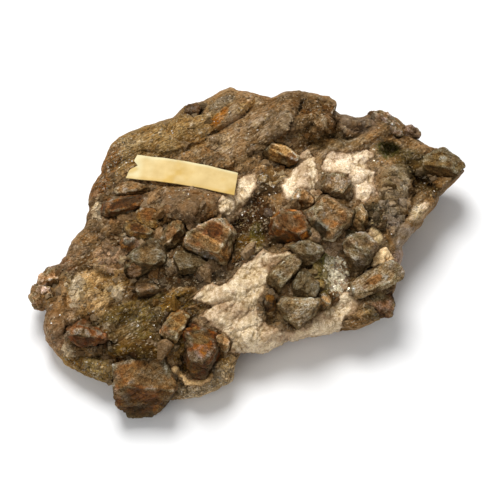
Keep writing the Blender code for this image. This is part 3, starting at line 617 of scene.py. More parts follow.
# %% The rim and the foot
HUB = (210.0, 250.0)
RIM = [
    (45, 312), (34, 304), (33, 293), (38, 284), (43, 275), (52, 268.5), (60, 267), (67, 257),
    (73, 241), (83.5, 228.5), (89, 209), (89, 199), (93.5, 184), (101, 173), (106.5, 155),
    (112, 144), (121, 136), (133, 130.5), (155, 123.5), (173, 118), (186, 107), (200, 103.5),
    (224, 91), (230, 88.5), (240, 91), (259, 95), (271.5, 98), (283, 93.5), (299, 91), (316, 95),
    (329, 97), (332, 108), (340, 114), (353, 118), (366, 117), (373, 113), (391, 116), (403, 125),
    (415, 131), (420, 138), (424, 145), (437, 150), (450, 154), (461, 164), (465, 171), (457, 179),
    (444, 187), (440, 195), (437, 204), (424, 215.5), (421, 224), (412, 233), (402, 246.6),
    (403, 254), (398, 268), (397, 285), (391, 300), (389, 313), (380, 318), (368, 324),
    (356, 328.7), (346, 326.6), (335, 330), (309, 334), (287, 338), (263, 350), (241, 350.5),
    (234, 368), (232, 381), (217.5, 389), (191, 398), (165, 398), (140, 396), (120, 386),
    (103, 382.5), (89, 377), (75, 370), (65, 362.7), (58, 355), (45.7, 340), (44, 326)]
HUB_HEIGHT = 20 * MM
BASE_SHARE = 0.86             # the foot's distance from the hub as a share of the rim's
BASE_WAVE = 0.03
SAW_DEPTH = 2 * MM            # how far under the resting plane the foot would reach
EDGE_ROUNDING = 7             # grid steps over which the rim rounds off at the back
FRONT_ROUNDING = 13           # how many more there are at the front
RIM_LEVEL = 0.88              # height of the rim at the back as a share of the land's
FRONT_FALL = 0.62             # how much lower that share is at the front
print("corners of the rim:", len(RIM))

# %% Heights of the worn surface
# Heights over the table: column, row, millimetres
SURFACE_HEIGHTS = [
    (100, 190, 29), (120, 150, 30), (160, 135, 33), (200, 120, 35), (235, 100, 35), (280, 105, 39),
    (310, 105, 38), (335, 125, 35), (362, 130, 33), (395, 135, 32), (415, 150, 29), (432, 185, 24),
    (70, 270, 22), (60, 300, 20), (90, 240, 28), (130, 200, 33), (180, 200, 35), (220, 180, 36),
    (260, 170, 35), (300, 160, 34), (345, 160, 33), (380, 180, 34), (400, 210, 31), (408, 235, 24),
    (110, 260, 29), (150, 250, 32), (200, 240, 33), (250, 220, 32), (290, 230, 34), (330, 230, 34),
    (370, 240, 31), (392, 265, 25), (80, 320, 23), (60, 340, 16), (120, 310, 27), (170, 300, 29),
    (220, 300, 30), (260, 290, 30), (300, 290, 31), (340, 280, 29), (375, 290, 24), (385, 310, 17),
    (90, 368, 12), (130, 340, 23), (180, 340, 23), (220, 350, 20), (250, 330, 24), (300, 325, 22),
    (345, 315, 20), (140, 390, 12), (200, 388, 11), (225, 372, 13), (265, 342, 19), (330, 328, 16)]
HEIGHT_REACH = 21.0           # grid steps over which a height is blended into its neighbours
LABEL_SPOT = (184, 177)       # the ground under the label is nearly even
LABEL_REACH = (58, 20)
LABEL_CALM = 0.85
LAYER_TURN = 0.5              # radians by which the swells of the sheets run up to the right
print("heights:", len(SURFACE_HEIGHTS))

# %% Ridges, mounds and hollows
# Column, row, half length, half width, turn in degrees, millimetres
RELIEF = [
    ("smooth log ridge", 272, 122, 44, 15, 42, 5.0),
    ("log ridge, lower end", 232, 158, 44, 12, 22, 2.2),
    ("upper slab", 170, 140, 60, 16, 22, 1.6),
    ("slab behind the ridge", 225, 108, 30, 11, 32, 2.0),
    ("groove along the slab", 232, 122, 26, 3.5, 35, -2.6),
    ("brown block", 314, 122, 19, 17, 15, 4.2),
    ("hollow beside the block", 296, 112, 13, 4, 50, -4.5),
    ("hollow under the ridge", 271, 141, 11, 5, 40, -3.5),
    ("hump under the label", 188, 202, 32, 15, 4, 5.4),
    ("hollow under the hump", 190, 221, 28, 4.5, 10, -3.2),
    ("dark granular field", 252, 220, 26, 24, 35, -2.4),
    ("back ridge", 350, 120, 20, 6, -14, 3.2),
    ("hollow below the back ridge", 343, 137, 14, 6, -8, -3.2),
    ("deep green hollow", 389, 151, 11, 9, -20, -6.0),
    ("grey hump", 394, 184, 13, 20, -15, 5.0),
    ("dark mica lumps", 383, 214, 16, 12, 10, 4.2),
    ("slot under the tip", 424, 181, 15, 6, -35, -4.0),
    ("pale mound", 84, 298, 26, 18, 10, 2.6),
    ("tan knob", 112, 288, 15, 12, 20, 2.0),
    ("band below the mound", 120, 322, 26, 8, 5, -1.8),
    ("ledge", 142, 348, 34, 6, 3, 2.8),
    ("step under the ledge", 96, 356, 26, 5, -4, -3.2),
    ("olive lobe", 90, 370, 24, 9, -12, 2.4),
    ("front lobe", 212, 378, 26, 14, 18, 2.2),
    ("cavity between crystals", 181, 358, 6, 17, 0, -5.5),
    ("mica valley", 336, 276, 14, 22, 10, -3.4),
    ("cavity by the wedge", 272, 318, 10, 8, -30, -4.0),
    ("groove in the quartz", 212, 305, 20, 3.5, 17, -2.2),
    ("pink shoulder", 404, 240, 12, 20, 30, 2.0),
    ("left shoulder", 52, 322, 10, 18, 0, 1.5),
    ("rock between the left crystals", 143, 232, 34, 30, 40, 2.2),
    ("rock between the right crystals", 320, 222, 44, 30, -30, 2.2),
    ("rock between the lower crystals", 298, 290, 34, 24, 40, 1.8),
    ("rock round the wedge", 205, 250, 34, 22, -20, 1.2),
    ("rock round the upright crystal", 186, 336, 30, 26, -40, 1.5),
]
print("forms:", len(RELIEF))

# %% Height of the upper surface
def mound(column, row, middle_column, middle_row, half_length, half_width, turn):
    """1 in the middle of a turned oval of the grid, 0 outside it, with a soft edge between."""
    angle = math.radians(turn)
    dx = column - middle_column
    dy = middle_row - row
    along = (dx * math.cos(angle) + dy * math.sin(angle)) / half_length
    aside = (dy * math.cos(angle) - dx * math.sin(angle)) / half_width
    return np.exp(-(along ** 2 + aside ** 2) ** 2)


def surface_height(column, row):
    """Height of the rock's upper surface: the heights near a spot, blended, plus all its relief."""
    reach = 2 * HEIGHT_REACH ** 2
    total = np.zeros(np.shape(column))
    weight_sum = total + 1e-9
    for spot_column, spot_row, spot_height in SURFACE_HEIGHTS:
        weight = np.exp(-((column - spot_column) ** 2 + (row - spot_row) ** 2) / reach)
        total += weight * spot_height
        weight_sum = weight_sum + weight
    height = total / weight_sum
    for _, *oval, rise in RELIEF:
        height += rise * mound(column, row, *oval)
    aside = (column - LABEL_SPOT[0]) / LABEL_REACH[0]
    down = (row - LABEL_SPOT[1]) / LABEL_REACH[1]
    calm = LABEL_CALM * np.exp(-aside ** 4 - down ** 4)
    rough = 0.9 * waves(column, row, 55, 3) + 0.7 * waves(column, row, 26, 4)
    along = column * math.cos(LAYER_TURN) - row * math.sin(LAYER_TURN)
    across = column * math.sin(LAYER_TURN) + row * math.cos(LAYER_TURN)
    rough += 0.6 * waves(along * 0.3, across, 15, 5)
    return (height + rough * (1 - calm)) * MM


print("height at the hub:", round(float(surface_height(*HUB)) / MM, 1), "mm")

# %% The smooth skin of the rock
def rim_distance(angle):
    """Distance of the rim from the hub, in grid steps, for each angle of the picture."""
    rim = np.array(RIM)
    dx = rim[:, 0] - HUB[0]
    dy = HUB[1] - rim[:, 1]
    order = np.argsort(np.arctan2(dy, dx))
    angles = np.arctan2(dy, dx)[order]
    return np.interp(angle, angles, np.hypot(dx, dy)[order], period=2 * math.pi)


def rock_skin(share, angle):
    """Point of the rock's skin: share 0 is over the hub, 1 the rim, 1.5 the foot, 2 under the hub.

    Up to the rim, its height falls from the land to the rim's own height as a quarter ellipse does.
    Past it, the foot lies at a part of the rim's distance from the hub, below the saw cut."""
    inner = np.clip(share, 0, 1)
    reach = rim_distance(angle)
    column = HUB[0] + inner * reach * np.cos(angle)
    row = HUB[1] - inner * reach * np.sin(angle)
    front = 0.5 - 0.5 * np.sin(angle)
    rounding = EDGE_ROUNDING + FRONT_ROUNDING * front ** 1.5
    edge = np.clip(1 - (1 - inner) * reach / rounding, 0, 1)
    land = surface_height(column, row)
    rim_height = land * (RIM_LEVEL - FRONT_FALL * front ** 1.2)
    height = rim_height + (land - rim_height) * np.sqrt(1 - edge ** 2)
    upper = seen_at(column, row, height)
    fall = np.clip((share - 1) / 0.5, 0, 1)
    inward = np.clip((share - 1.5) / 0.5, 0, 1)
    hub = seen_at(HUB[0], HUB[1], HUB_HEIGHT)
    spread = BASE_SHARE + BASE_WAVE * waves(angle * 20, angle * 0, 30, 8)
    foot = hub + (upper - hub) * spread[..., None]
    lower = upper + (foot - upper) * (fall ** 1.3)[..., None]
    lower[..., :2] = hub[:2] + (lower[..., :2] - hub[:2]) * (1 - inward)[..., None]
    lower[..., 2] = upper[..., 2] + (-SAW_DEPTH - upper[..., 2]) * fall
    return np.where((share > 1)[..., None], lower, upper)


front_rim = rock_skin(np.array([1.0]), np.array([-math.pi / 2]))[0]
print("front of the rim:", (front_rim / MM).round(1), "mm")

# %% [markdown]
# ## The crystals' plan
# A staurolite crystal is a stubby prism, and in the rock only some of its faces show. Each one is given
# as it is seen: its outline on the grid and the tilts of its faces. That makes a set of planes around
# its middle. The softened shape of such a set is a single formula: along any direction the surface
# lies where the planes' pushes, raised to a high power and summed, reach one. A high power gives sharp
# edges, a lower one worn edges. The planes also tell how far any other point is from the crystal,
# which the rock uses for its crevices.

# %% Crystals: their outlines and faces
# Each crystal as it is seen: the height of its middle over the resting plane in mm, how
# far it reaches back into the rock and how far it rises towards the eye in mm, its visible faces,
# its outline clockwise on the grid, and the lean of its sides towards the eye in degrees. A face is
# the way it looks on the grid, its tilt towards the eye, and a spot that it passes through.
# The first named grew first, and later ones stop at it.
Crystal = namedtuple("Crystal", "height depth rise faces outline lean", defaults=[8])
CRYSTALS = {
    "large_cube": [Crystal(
        36.5, 7, 7.5, [(66, 60, 330, 214), (222, 36, 320, 224), (322, 32, 348, 223)],
        [(307, 219), (309, 210), (326, 196), (354, 212.5), (350.5, 225), (334, 243.5), (316, 239.5)])],
    "great_block": [Crystal(
        13.8, 8, 8.5, [(80, 62, 146, 387), (268, 48, 146, 387), (178, 40, 122, 385)],
        [(113, 365.6), (130.6, 361), (150, 357.5), (166, 357.5), (171.7, 371.5), (176, 387.6),
         (171.7, 399.4), (163, 406.7), (155.6, 415.5), (135, 418.4), (126, 415.5), (116, 402.3),
         (113.7, 384.7)], 0)],
    "wedge_centre": [Crystal(
        35.2, 5, 7, [(77, 66, 206, 250.5), (257, 35, 206, 250.5), (350, 45, 227, 240)],
        [(183.8, 246), (186.8, 233.2), (197, 227), (215.4, 219.5), (222.6, 219.5), (234.8, 234.2),
         (232.5, 245), (230.7, 257), (226.6, 263.8), (217.5, 264.8), (206.2, 260.7), (193, 252.6)])],
    "block_left": [Crystal(
        33, 5, 6.5, [(84, 70, 140, 262), (262, 38, 140, 262), (185, 40, 129.5, 265)],
        [(123.6, 262), (135.8, 249.5), (148, 240.3), (158.3, 240.3), (165.4, 251.5), (166.4, 265.8),
         (158.3, 268.9), (144, 275), (128.7, 283.2), (124.6, 281)])],
    "upright": [Crystal(
        22.5, 7, 7.5, [(72, 66, 203, 350), (255, 34, 199, 359), (342, 42, 211, 352)],
        [(183.2, 332), (187.6, 327.2), (204, 328.6), (214.4, 336), (218.9, 348), (216, 357),
         (211.5, 366), (205.6, 376.2), (195.2, 377.6), (187.5, 370), (185.5, 351), (182.4, 339.2)])],
    "prism_lower_right": [Crystal(
        26, 6, 5, [(112, 64, 378, 283), (292, 46, 378, 286), (10, 45, 396, 273), (200, 45, 357, 291)],
        [(352.6, 293), (350.3, 286), (356, 278.6), (384.7, 262.8), (392.8, 261.4), (399.9, 267),
         (403.4, 275.6), (401, 280.6), (392.8, 286.4), (374.4, 293.4), (361.8, 300), (356, 299.7)], 2)],
    "prism_centre": [Crystal(
        33, 4, 4.5, [(52, 74, 283, 275), (228, 36, 278, 281)],
        [(265.7, 281), (267.6, 276.2), (289.4, 255.6), (296.3, 254.6), (301.2, 262.6), (299.8, 268.2),
         (278, 294.4), (274, 295.4), (267, 286.5)])],
    "wedge_lower": [
        Crystal(
            26.5, 6, 6, [(262, 66, 299, 308), (88, 45, 299, 304)],
            [(276.5, 304.5), (284.9, 297), (300.9, 296.5), (319.3, 298.5), (324, 306), (313, 315.5),
             (306, 327.6), (298.4, 327.8), (286, 318.5)]),
        Crystal(
            25, 4, 3.5, [(60, 64, 325, 300), (250, 50, 325, 302)],
            [(319, 294), (325, 292.5), (332, 300.6), (330, 306.8), (324, 310.4), (318.6, 306.6)])],
    "tip_right": [Crystal(
        24, 9, 6, [(75, 66, 443, 166), (262, 50, 443, 168), (350, 60, 452, 168)],
        [(419.5, 158), (437.8, 148.3), (443.4, 146.6), (451, 151.8), (462.4, 160.7), (468, 170.3),
         (464.3, 176.2), (450, 183.5), (443.4, 191.2), (433.5, 186.5), (419.5, 172)], 0)],
    "rust_right": [Crystal(
        35.2, 5, 6, [(72, 66, 290, 228), (250, 36, 288, 231), (325, 50, 300, 232)],
        [(270, 235), (272, 219.4), (281.4, 210.5), (299.8, 211), (309, 226), (316.5, 238.9),
         (310, 245), (300.9, 247), (289.4, 249), (274.5, 245.5)])],
    "faceted_right": [Crystal(
        32.6, 5, 6.5, [(62, 60, 360, 249), (245, 44, 360, 249), (335, 42, 367, 250)],
        [(342, 244), (346.8, 236.4), (356, 233.8), (365.2, 233.8), (375.8, 243), (377, 248.5),
         (373, 258), (369.8, 263), (361.8, 270), (352.6, 271.2), (344.6, 258.5)])],
    "block_upper": [Crystal(
        35.2, 6, 6, [(75, 64, 335, 186), (238, 40, 332, 189), (338, 35, 345, 190)],
        [(320.4, 186), (323.9, 174.6), (333.1, 172.4), (344.6, 174.2), (350.5, 182.6), (353, 193),
         (352, 205.6), (344, 206), (330, 196), (322.5, 193)])],
    "grey_wedge": [Crystal(
        33, 5, 5, [(85, 72, 306, 250), (262, 48, 306, 254)],
        [(289.4, 245), (299.8, 240.5), (310.1, 238.5), (320.4, 244), (324, 251.5), (319.3, 259.6),
         (312.4, 265.6), (305.5, 266.8), (298, 258)])],
    "stepped": [Crystal(
        30.5, 5, 4.5, [(50, 72, 303, 285), (250, 45, 302, 290)],
        [(290.6, 285), (299.8, 270.5), (309, 272.8), (319.5, 283.7), (317.4, 294.4), (306.7, 301),
         (292.5, 296.8)])],
    "round_right": [Crystal(
        33.5, 4, 4.5, [(60, 66, 359, 217), (270, 45, 359, 222)],
        [(352.6, 226), (353.8, 208), (361.8, 204), (367.8, 215.9), (368.4, 225.5), (365.2, 232.4),
         (358.3, 233.6)])],
    "small_upper": [Crystal(
        35.2, 4, 4, [(80, 64, 302, 198), (250, 42, 302, 200)],
        [(288.3, 203.3), (292.9, 196), (297.5, 188.9), (305.5, 189), (312.4, 195.5), (314.7, 202.1),
         (309, 208), (302, 210.5), (293, 207)])],
    "elongated_top": [Crystal(
        34.2, 4, 4.5, [(68, 62, 280, 152), (246, 50, 280, 154)],
        [(260.7, 152), (274.1, 139.8), (285.4, 143.4), (300.7, 156.8), (297, 163.2), (289.1, 167),
         (274, 163.4), (262.5, 159.5)])],
    "ledge_back": [Crystal(
        31.5, 8, 4, [(48, 50, 388, 121), (232, 62, 388, 121)],
        [(368, 112), (379.4, 110.3), (392.8, 115.5), (401.2, 127), (404.4, 136.4), (396, 137),
         (381, 129), (369, 121.6)], 0)],
    "knob_back": [Crystal(
        28.5, 7, 3.5, [(60, 55, 412, 131), (240, 55, 412, 131)],
        [(403.5, 126), (411.4, 124.8), (421, 132.7), (419.2, 138.6), (409.5, 141), (403, 135)], 0)],
    "plate_centre": [Crystal(
        32.2, 5, 4, [(62, 74, 190, 262), (290, 32, 187, 268)],
        [(173.6, 259.7), (176.6, 251.5), (184.8, 250), (196, 253), (207.5, 262), (207, 265),
         (197, 270.9), (184.8, 274), (179, 271.9)])],
    "narrow": [Crystal(
        34.5, 5, 5, [(130, 62, 174, 234), (320, 48, 174, 236)],
        [(170.5, 220.9), (176.6, 218.5), (182.8, 221.9), (186, 232), (183.8, 238.3), (172.6, 248.5),
         (164.4, 252), (159.3, 246.4), (160.3, 236.2), (166, 227)])],
    "pair_left": [
        Crystal(
            33.4, 4, 5, [(75, 68, 140, 231), (265, 42, 140, 233)],
            [(122.6, 225), (125.6, 220.9), (133.8, 219.5), (146, 224), (156.2, 232.1), (157, 236.2),
             (152, 239.3), (139.9, 239.5), (128.7, 235.8), (124, 231)]),
        Crystal(
            34.2, 4, 4.5, [(60, 70, 148, 216), (200, 55, 143, 218)],
            [(136.8, 211.7), (140.9, 207.5), (153.2, 208.3), (156.8, 213.8), (159.6, 226),
             (157.2, 233), (147, 229), (136, 220)])],
    "small_left": [Crystal(
        31.4, 4, 4.5, [(75, 68, 131, 245), (262, 40, 131, 247)],
        [(118.5, 242.3), (124.6, 238), (133.8, 238), (143, 243.4), (142, 248.5), (135.8, 252),
         (128.7, 252.6), (122.6, 249.5)])],
    "prism_left": [Crystal(
        33.2, 4, 5, [(104, 64, 126, 208), (284, 40, 126, 209)],
        [(101.1, 214), (104.2, 202.6), (115.4, 197.5), (144, 194.4), (148.8, 198.6), (146.5, 205),
         (118.5, 216), (106.2, 218.2)])],
    "under_label": [Crystal(
        31.8, 4, 3.2, [(100, 66, 132, 190), (280, 45, 132, 191)],
        [(115, 190), (119.5, 184.5), (133.8, 182), (146, 183.5), (150, 187), (148, 194.4),
         (133.8, 196.6), (117, 197)])],
    "rusty_pair": [Crystal(
        25, 6, 6.5, [(85, 64, 176, 325), (250, 42, 172, 333), (330, 45, 182, 328)],
        [(158, 335), (162.7, 324), (171.7, 312.4), (183.4, 309.5), (191.2, 315.6), (191.5, 322.5),
         (184, 333), (180.5, 342.5), (171.7, 348.4), (162.5, 342.6)])],
    "brown_lump": [Crystal(
        22.4, 4, 4, [(60, 60, 222, 340), (250, 45, 222, 343)],
        [(216.5, 333.3), (225.8, 334.2), (230.7, 342), (229, 349.8), (220.3, 353), (215, 343)])],
    "lump_lower_left": [Crystal(
        21, 5, 5, [(82, 62, 90, 332), (262, 45, 90, 336)],
        [(67.2, 331), (79.3, 321.2), (91, 323.8), (107.1, 331.2), (113.4, 339.2), (101.3, 344),
         (83.7, 347), (71.5, 342.5)])],
    "nub_left": [
        Crystal(
            18.5, 9, 4, [(100, 55, 48, 277), (280, 50, 48, 280)],
            [(40.8, 276.1), (46.8, 268.4), (57.5, 268.2), (60, 277), (58, 289), (44, 289),
             (37.8, 283.5)], 0),
        Crystal(
            16.5, 9, 4, [(120, 58, 40, 295), (290, 50, 40, 298)],
            [(29.7, 295.2), (32, 286), (38, 284.5), (50, 287.5), (54, 301), (44, 310.5),
             (33.6, 307.2)], 0)],
    "dark_small": [Crystal(
        28.8, 4, 3.5, [(70, 62, 269, 300), (255, 45, 269, 302)],
        [(264, 296.3), (269.9, 291.5), (274.8, 297.4), (273.8, 307.8), (268.8, 311.4),
         (263.8, 306.6)])],
    "olive_rim": [Crystal(
        18, 7, 5, [(80, 58, 380, 303), (262, 42, 380, 306)],
        [(364.8, 305), (374.4, 294), (391.6, 290.4), (394.7, 305.5), (390.7, 315.8), (381.3, 318.4),
         (369.4, 315)], 0)],
    "small_below_block": [Crystal(
        28.4, 3, 3, [(90, 66, 149, 288), (270, 45, 149, 290)],
        [(134.8, 288), (136, 283.4), (146, 281.5), (158.3, 285.6), (164, 289.3), (162.3, 296),
         (150, 298.5), (138, 296)])],
    "bump_top": [Crystal(
        34, 6, 3, [(90, 50, 194, 109), (250, 55, 194, 111)],
        [(187, 104.8), (196.9, 102.4), (202.9, 108.2), (198, 118.5), (186, 119), (183.4, 112)], 0)],
}
print("groups of crystals:", len(CRYSTALS))

# %% Planes of a crystal
LEAN_SPREAD = 7               # degrees by which the sides of one crystal lean more or less


def crystal_planes(crystal):
    """The faces of a crystal in the axes of the sight, as unit normals and distances in metres.

    Each side of the outline gives one face, and the back one more. The first visible face rises to
    the crystal's full rise at its spot. Each later one passes through its own spot on the surface
    that the earlier ones make."""
    outline = np.array(crystal.outline, float)
    middle = outline.mean(0)
    spots = (outline - middle) * (STEP, -STEP)
    ways = np.roll(spots, -1, axis=0) - spots
    outwards = np.stack([-ways[:, 1], ways[:, 0]], axis=1)
    outwards /= np.linalg.norm(outwards, axis=1)[:, None]
    dice = np.random.RandomState(int(outline.sum()))
    leans = np.radians(crystal.lean + LEAN_SPREAD * (2 * dice.rand(len(outline)) - 1))
    sides = np.concatenate([outwards * np.cos(leans)[:, None], np.sin(leans)[:, None]], axis=1)
    side_distances = (spots * outwards).sum(1) * np.cos(leans)
    visible = []
    for look, tilt, column, row in crystal.faces:
        look = math.radians(look)
        tilt = math.radians(tilt)
        normal = np.array((math.cos(look) * math.cos(tilt), math.sin(look) * math.cos(tilt), math.sin(tilt)))
        spot = (np.array((column, row)) - middle) * (STEP, -STEP)
        rises = [(distance - face[:2] @ spot) / face[2] for face, distance in visible]
        rise = min(rises, default=crystal.rise * MM)
        visible.append((normal, normal @ np.array((*spot, rise))))
    normals = np.array([*sides, (0, 0, -1), *(face for face, _ in visible)])
    distances = np.array([*side_distances, crystal.depth * MM, *(distance for _, distance in visible)])
    return normals, distances


def crystal_middle(crystal):
    """Where the middle of a crystal's outline is in space."""
    column, row = np.array(crystal.outline).mean(0)
    return seen_at(column, row, crystal.height * MM)


Solid = namedtuple("Solid", "middle normals distances half")


def crystal_solid(crystal):
    """The middle of a crystal, its planes, and half its extent along each axis of the sight."""
    normals, distances = crystal_planes(crystal)
    spots = np.array(crystal.outline) * STEP
    across, upward = (spots.max(0) - spots.min(0)) / 2
    half = np.array((across, upward, max(crystal.depth, crystal.rise) * MM))
    return Solid(crystal_middle(crystal), normals, distances, half)


def crystal_reach(solid, offsets, sharpness):
    """How far out of the crystal each offset from its middle lies: 1 is on its surface.

    Each plane pushes by the offset's part along its normal over its distance. The pushes are raised
    to the sharpness and summed, and the root is taken."""
    pushes = np.maximum(offsets @ (solid.normals / solid.distances[:, None]).T, 0)
    strongest = pushes.max(-1, keepdims=True) + 1e-9
    total = ((pushes / strongest) ** sharpness).sum(-1, keepdims=True) ** (1 / sharpness)
    return (strongest * total)[..., 0], pushes


SOLIDS = {name: [crystal_solid(crystal) for crystal in group] for name, group in CRYSTALS.items()}
print("crystals:", sum(len(solids) for solids in SOLIDS.values()))

# %% [markdown]
# ## Crevices around the crystals
# The schist wears faster than the crystals and comes away from their sides, so a crevice runs
# along many of them, sunk into the rock and painted darker as shade. Elsewhere it still clings to the
# crystal as a crust. The rock asks each crystal's planes how near it is, and noise decides between
# crevice and crust.

# %% Distance to the nearest crystal
CREVICE_WIDTH = 1.1 * MM
CREVICE_DEPTH = 1.8 * MM
CRUST_RISE = 0.7 * MM
HIDDEN_DEPTH = 2 * MM         # how far the rock is sunk inside a crystal
CRYSTAL_REACH = 4 * MM        # the rock feels a crystal from this far
UPHILL = (SIGHT_AXES[:, 1] - SIGHT_AXES[:, 0] * 0.4) * MM


def crystal_gap(points):
    """Distance from points to the nearest crystal in metres, below zero inside one.

    It is the distance past the plane that a point lies farthest out of."""
    gap = np.full(len(points), 1.0)
    for solid in itertools.chain(*SOLIDS.values()):
        offsets = points - solid.middle
        near = np.linalg.norm(offsets, axis=1) < np.linalg.norm(solid.half) + CRYSTAL_REACH
        if near.any():
            seen = offsets[near] @ SIGHT_AXES
            away = (seen @ solid.normals.T - solid.distances).max(axis=1)
            gap[near] = np.minimum(gap[near], away)
    return gap


def crystal_contact(points):
    """Push of the rock beside its crystals in metres, and how deep in a crevice it is from 0 to 1; the second
    sets how much painted shade the crevice gets.

    Below a crystal, a step up the slope comes nearer to it, and there the crevice is more common."""
    gap = crystal_gap(points)
    near = np.exp(-np.maximum(gap, 0) / CREVICE_WIDTH)
    uphill = crystal_gap(points + UPHILL)
    below = ramp(gap - uphill, -0.3 * MM, 0.7 * MM)
    crust = ramp(lumps(points, 6 * MM, 21, 2) + 0.45 - 0.65 * below, -0.05, 0.35)
    push = near * (CRUST_RISE * crust - CREVICE_DEPTH * (1 - crust))
    return push - HIDDEN_DEPTH * ramp(-gap, 0, HIDDEN_DEPTH), near * (1 - 0.6 * crust)


print("deepest crevice:", CREVICE_DEPTH / MM, "mm")

# %% [markdown]
# ## Relief of broken schist
# Up close the rock has four textures. Most of it shows its sheets: long narrow faces along the
# layering, which runs up to the right at 30 degrees. On the upper slab and the log ridge the sheets are
# fine and lie nearly flush. The dark fields are granular, and a few faces are worn smooth. Ovals on the
# grid say which texture is where. Where a packet of sheets ends, the rock breaks off in a ledge: a line
# on the grid with high ground on one side, a sharp drop, and a slow rise back on the other.

# %% Textures of the rock
# Ovals of the grid: column, row, half length, half width, turn in degrees
GRANULAR = [(252, 218, 30, 26, 35), (385, 212, 24, 18, 10), (336, 276, 18, 26, 10), (90, 372, 40, 16, -15),
            (205, 385, 45, 18, 15), (384, 308, 20, 16, 0), (314, 122, 22, 22, 0), (394, 184, 13, 22, -15)]
SMOOTH = [(188, 202, 36, 14, 4), (58, 308, 14, 38, 0), (404, 238, 14, 28, 30),
          (352, 122, 18, 8, -10), (446, 166, 20, 16, -30)]
FINE = [(165, 140, 72, 24, 24), (258, 122, 58, 22, 42), (225, 160, 30, 10, 20), (110, 165, 30, 16, 62),
        (150, 316, 60, 24, 24), (135, 352, 44, 8, 3), (235, 262, 34, 14, 30), (120, 195, 14, 12, 0)]


def where(column, row, ovals):
    """How far a spot belongs to any of the ovals, from 0 to 1."""
    share = np.zeros(np.shape(column))
    for oval in ovals:
        share = np.maximum(share, mound(column, row, *oval))
    return share


print("at the hub, granular:", where(*HUB, GRANULAR).round(2), "fine:", where(*HUB, FINE).round(2))

# %% Room for the label
LABEL_CORNERS = ((137.7, 155.5), (238, 173.4), (234.3, 195.6), (126, 178.6))
ROOM_UNDER_LABEL = 0.3 * MM


def inside_outline(column, row, outline):
    """Distance to an outline in grid steps, above zero inside it.

    The nearest point of each side is found, and a spot is inside where a ray from it crosses an odd
    number of sides."""
    nearest = np.full(np.shape(column), 1e9)
    crossings = np.zeros(np.shape(column), int)
    for (x1, y1), (x2, y2) in zip(outline, outline[1:] + outline[:1]):
        side_x, side_y = x2 - x1, y2 - y1
        along = ((column - x1) * side_x + (row - y1) * side_y) / (side_x ** 2 + side_y ** 2)
        along = np.clip(along, 0, 1)
        nearest = np.minimum(nearest, np.hypot(column - x1 - along * side_x, row - y1 - along * side_y))
        straddles = (y1 > row) != (y2 > row)
        cross_x = x1 + (row - y1) * side_x / (side_y if side_y else 1e-9)
        crossings += straddles & (column < cross_x)
    return np.where(crossings % 2 == 1, nearest, -nearest)


def keep_under_label(push, column, row):
    """The push of a skin, held down where the label lies on it."""
    share = ramp(inside_outline(column, row, LABEL_CORNERS), -5, 0)
    return push + (np.minimum(push, ROOM_UNDER_LABEL) - push) * share


print("half the label's width:", inside_outline(*np.mean(LABEL_CORNERS, axis=0), LABEL_CORNERS).round(1))

# %% Ledges
# Each ledge: rise in mm, how far the high ground runs back in grid steps, and the points of the edge. Going
# along them, the high ground lies on the left.
LEDGES = [
    (1.0, 10, [(138, 149), (160, 152.5), (178, 149), (192, 143), (206, 141), (222, 143)]),
    (1.3, 8, [(203, 136), (214, 129.5), (227, 126), (238, 116), (247, 106)]),
    (2.4, 9, [(212, 170), (232, 167), (246, 159), (258, 150), (270, 141), (281, 134), (288, 119),
              (304, 108)]),
    (1.8, 8, [(284, 133), (296, 127), (310, 124), (322, 129), (331, 134)]),
    (1.4, 5, [(300, 149), (309, 142), (320, 140), (330, 143)]),
    (2.2, 8, [(336, 134), (331, 120), (334, 108), (330, 97)]),
    (2.2, 9, [(333, 126), (345, 131), (356, 133), (363, 129)]),
    (1.6, 6, [(366, 228), (374, 224), (384, 229), (392, 236)]),
    (1.8, 9, [(391, 237), (402, 222), (410, 205), (413, 188), (410, 172), (404, 160)]),
    (2.6, 9, [(406, 168), (419, 176), (430, 184), (440, 191)]),
    (2.6, 18, [(148, 203), (162, 212), (180, 217.5), (198, 216), (221, 211)]),
    (1.2, 6, [(183, 225), (197, 221), (212, 217), (226, 219)]),
    (1.8, 8, [(84, 262), (98, 269), (108, 274), (120, 275), (126, 283)]),
    (1.5, 6, [(70, 343), (84, 348), (98, 346), (114, 351), (130, 352), (148, 351), (164, 347)]),
    (1.2, 5, [(108, 362), (125, 361), (140, 358), (162, 356)]),
    (1.3, 6, [(167, 350), (171, 368), (180, 383), (196, 389), (214, 386), (227, 376)]),
    (1.4, 7, [(96, 224), (106, 236), (104, 250), (113, 262)]),
    (1.6, 8, [(62, 338), (66, 320), (64, 300), (70, 282), (80, 268)]),
    (1.4, 6, [(186, 172), (204, 176), (222, 178)]),
    (1.5, 7, [(338, 322), (350, 317), (362, 318), (374, 312)]),
    (1.6, 6, [(148, 306), (170, 300), (192, 292), (212, 280), (226, 272)]),
]
LEDGE_TAPER = 7               # grid steps over which a ledge dies out at its ends


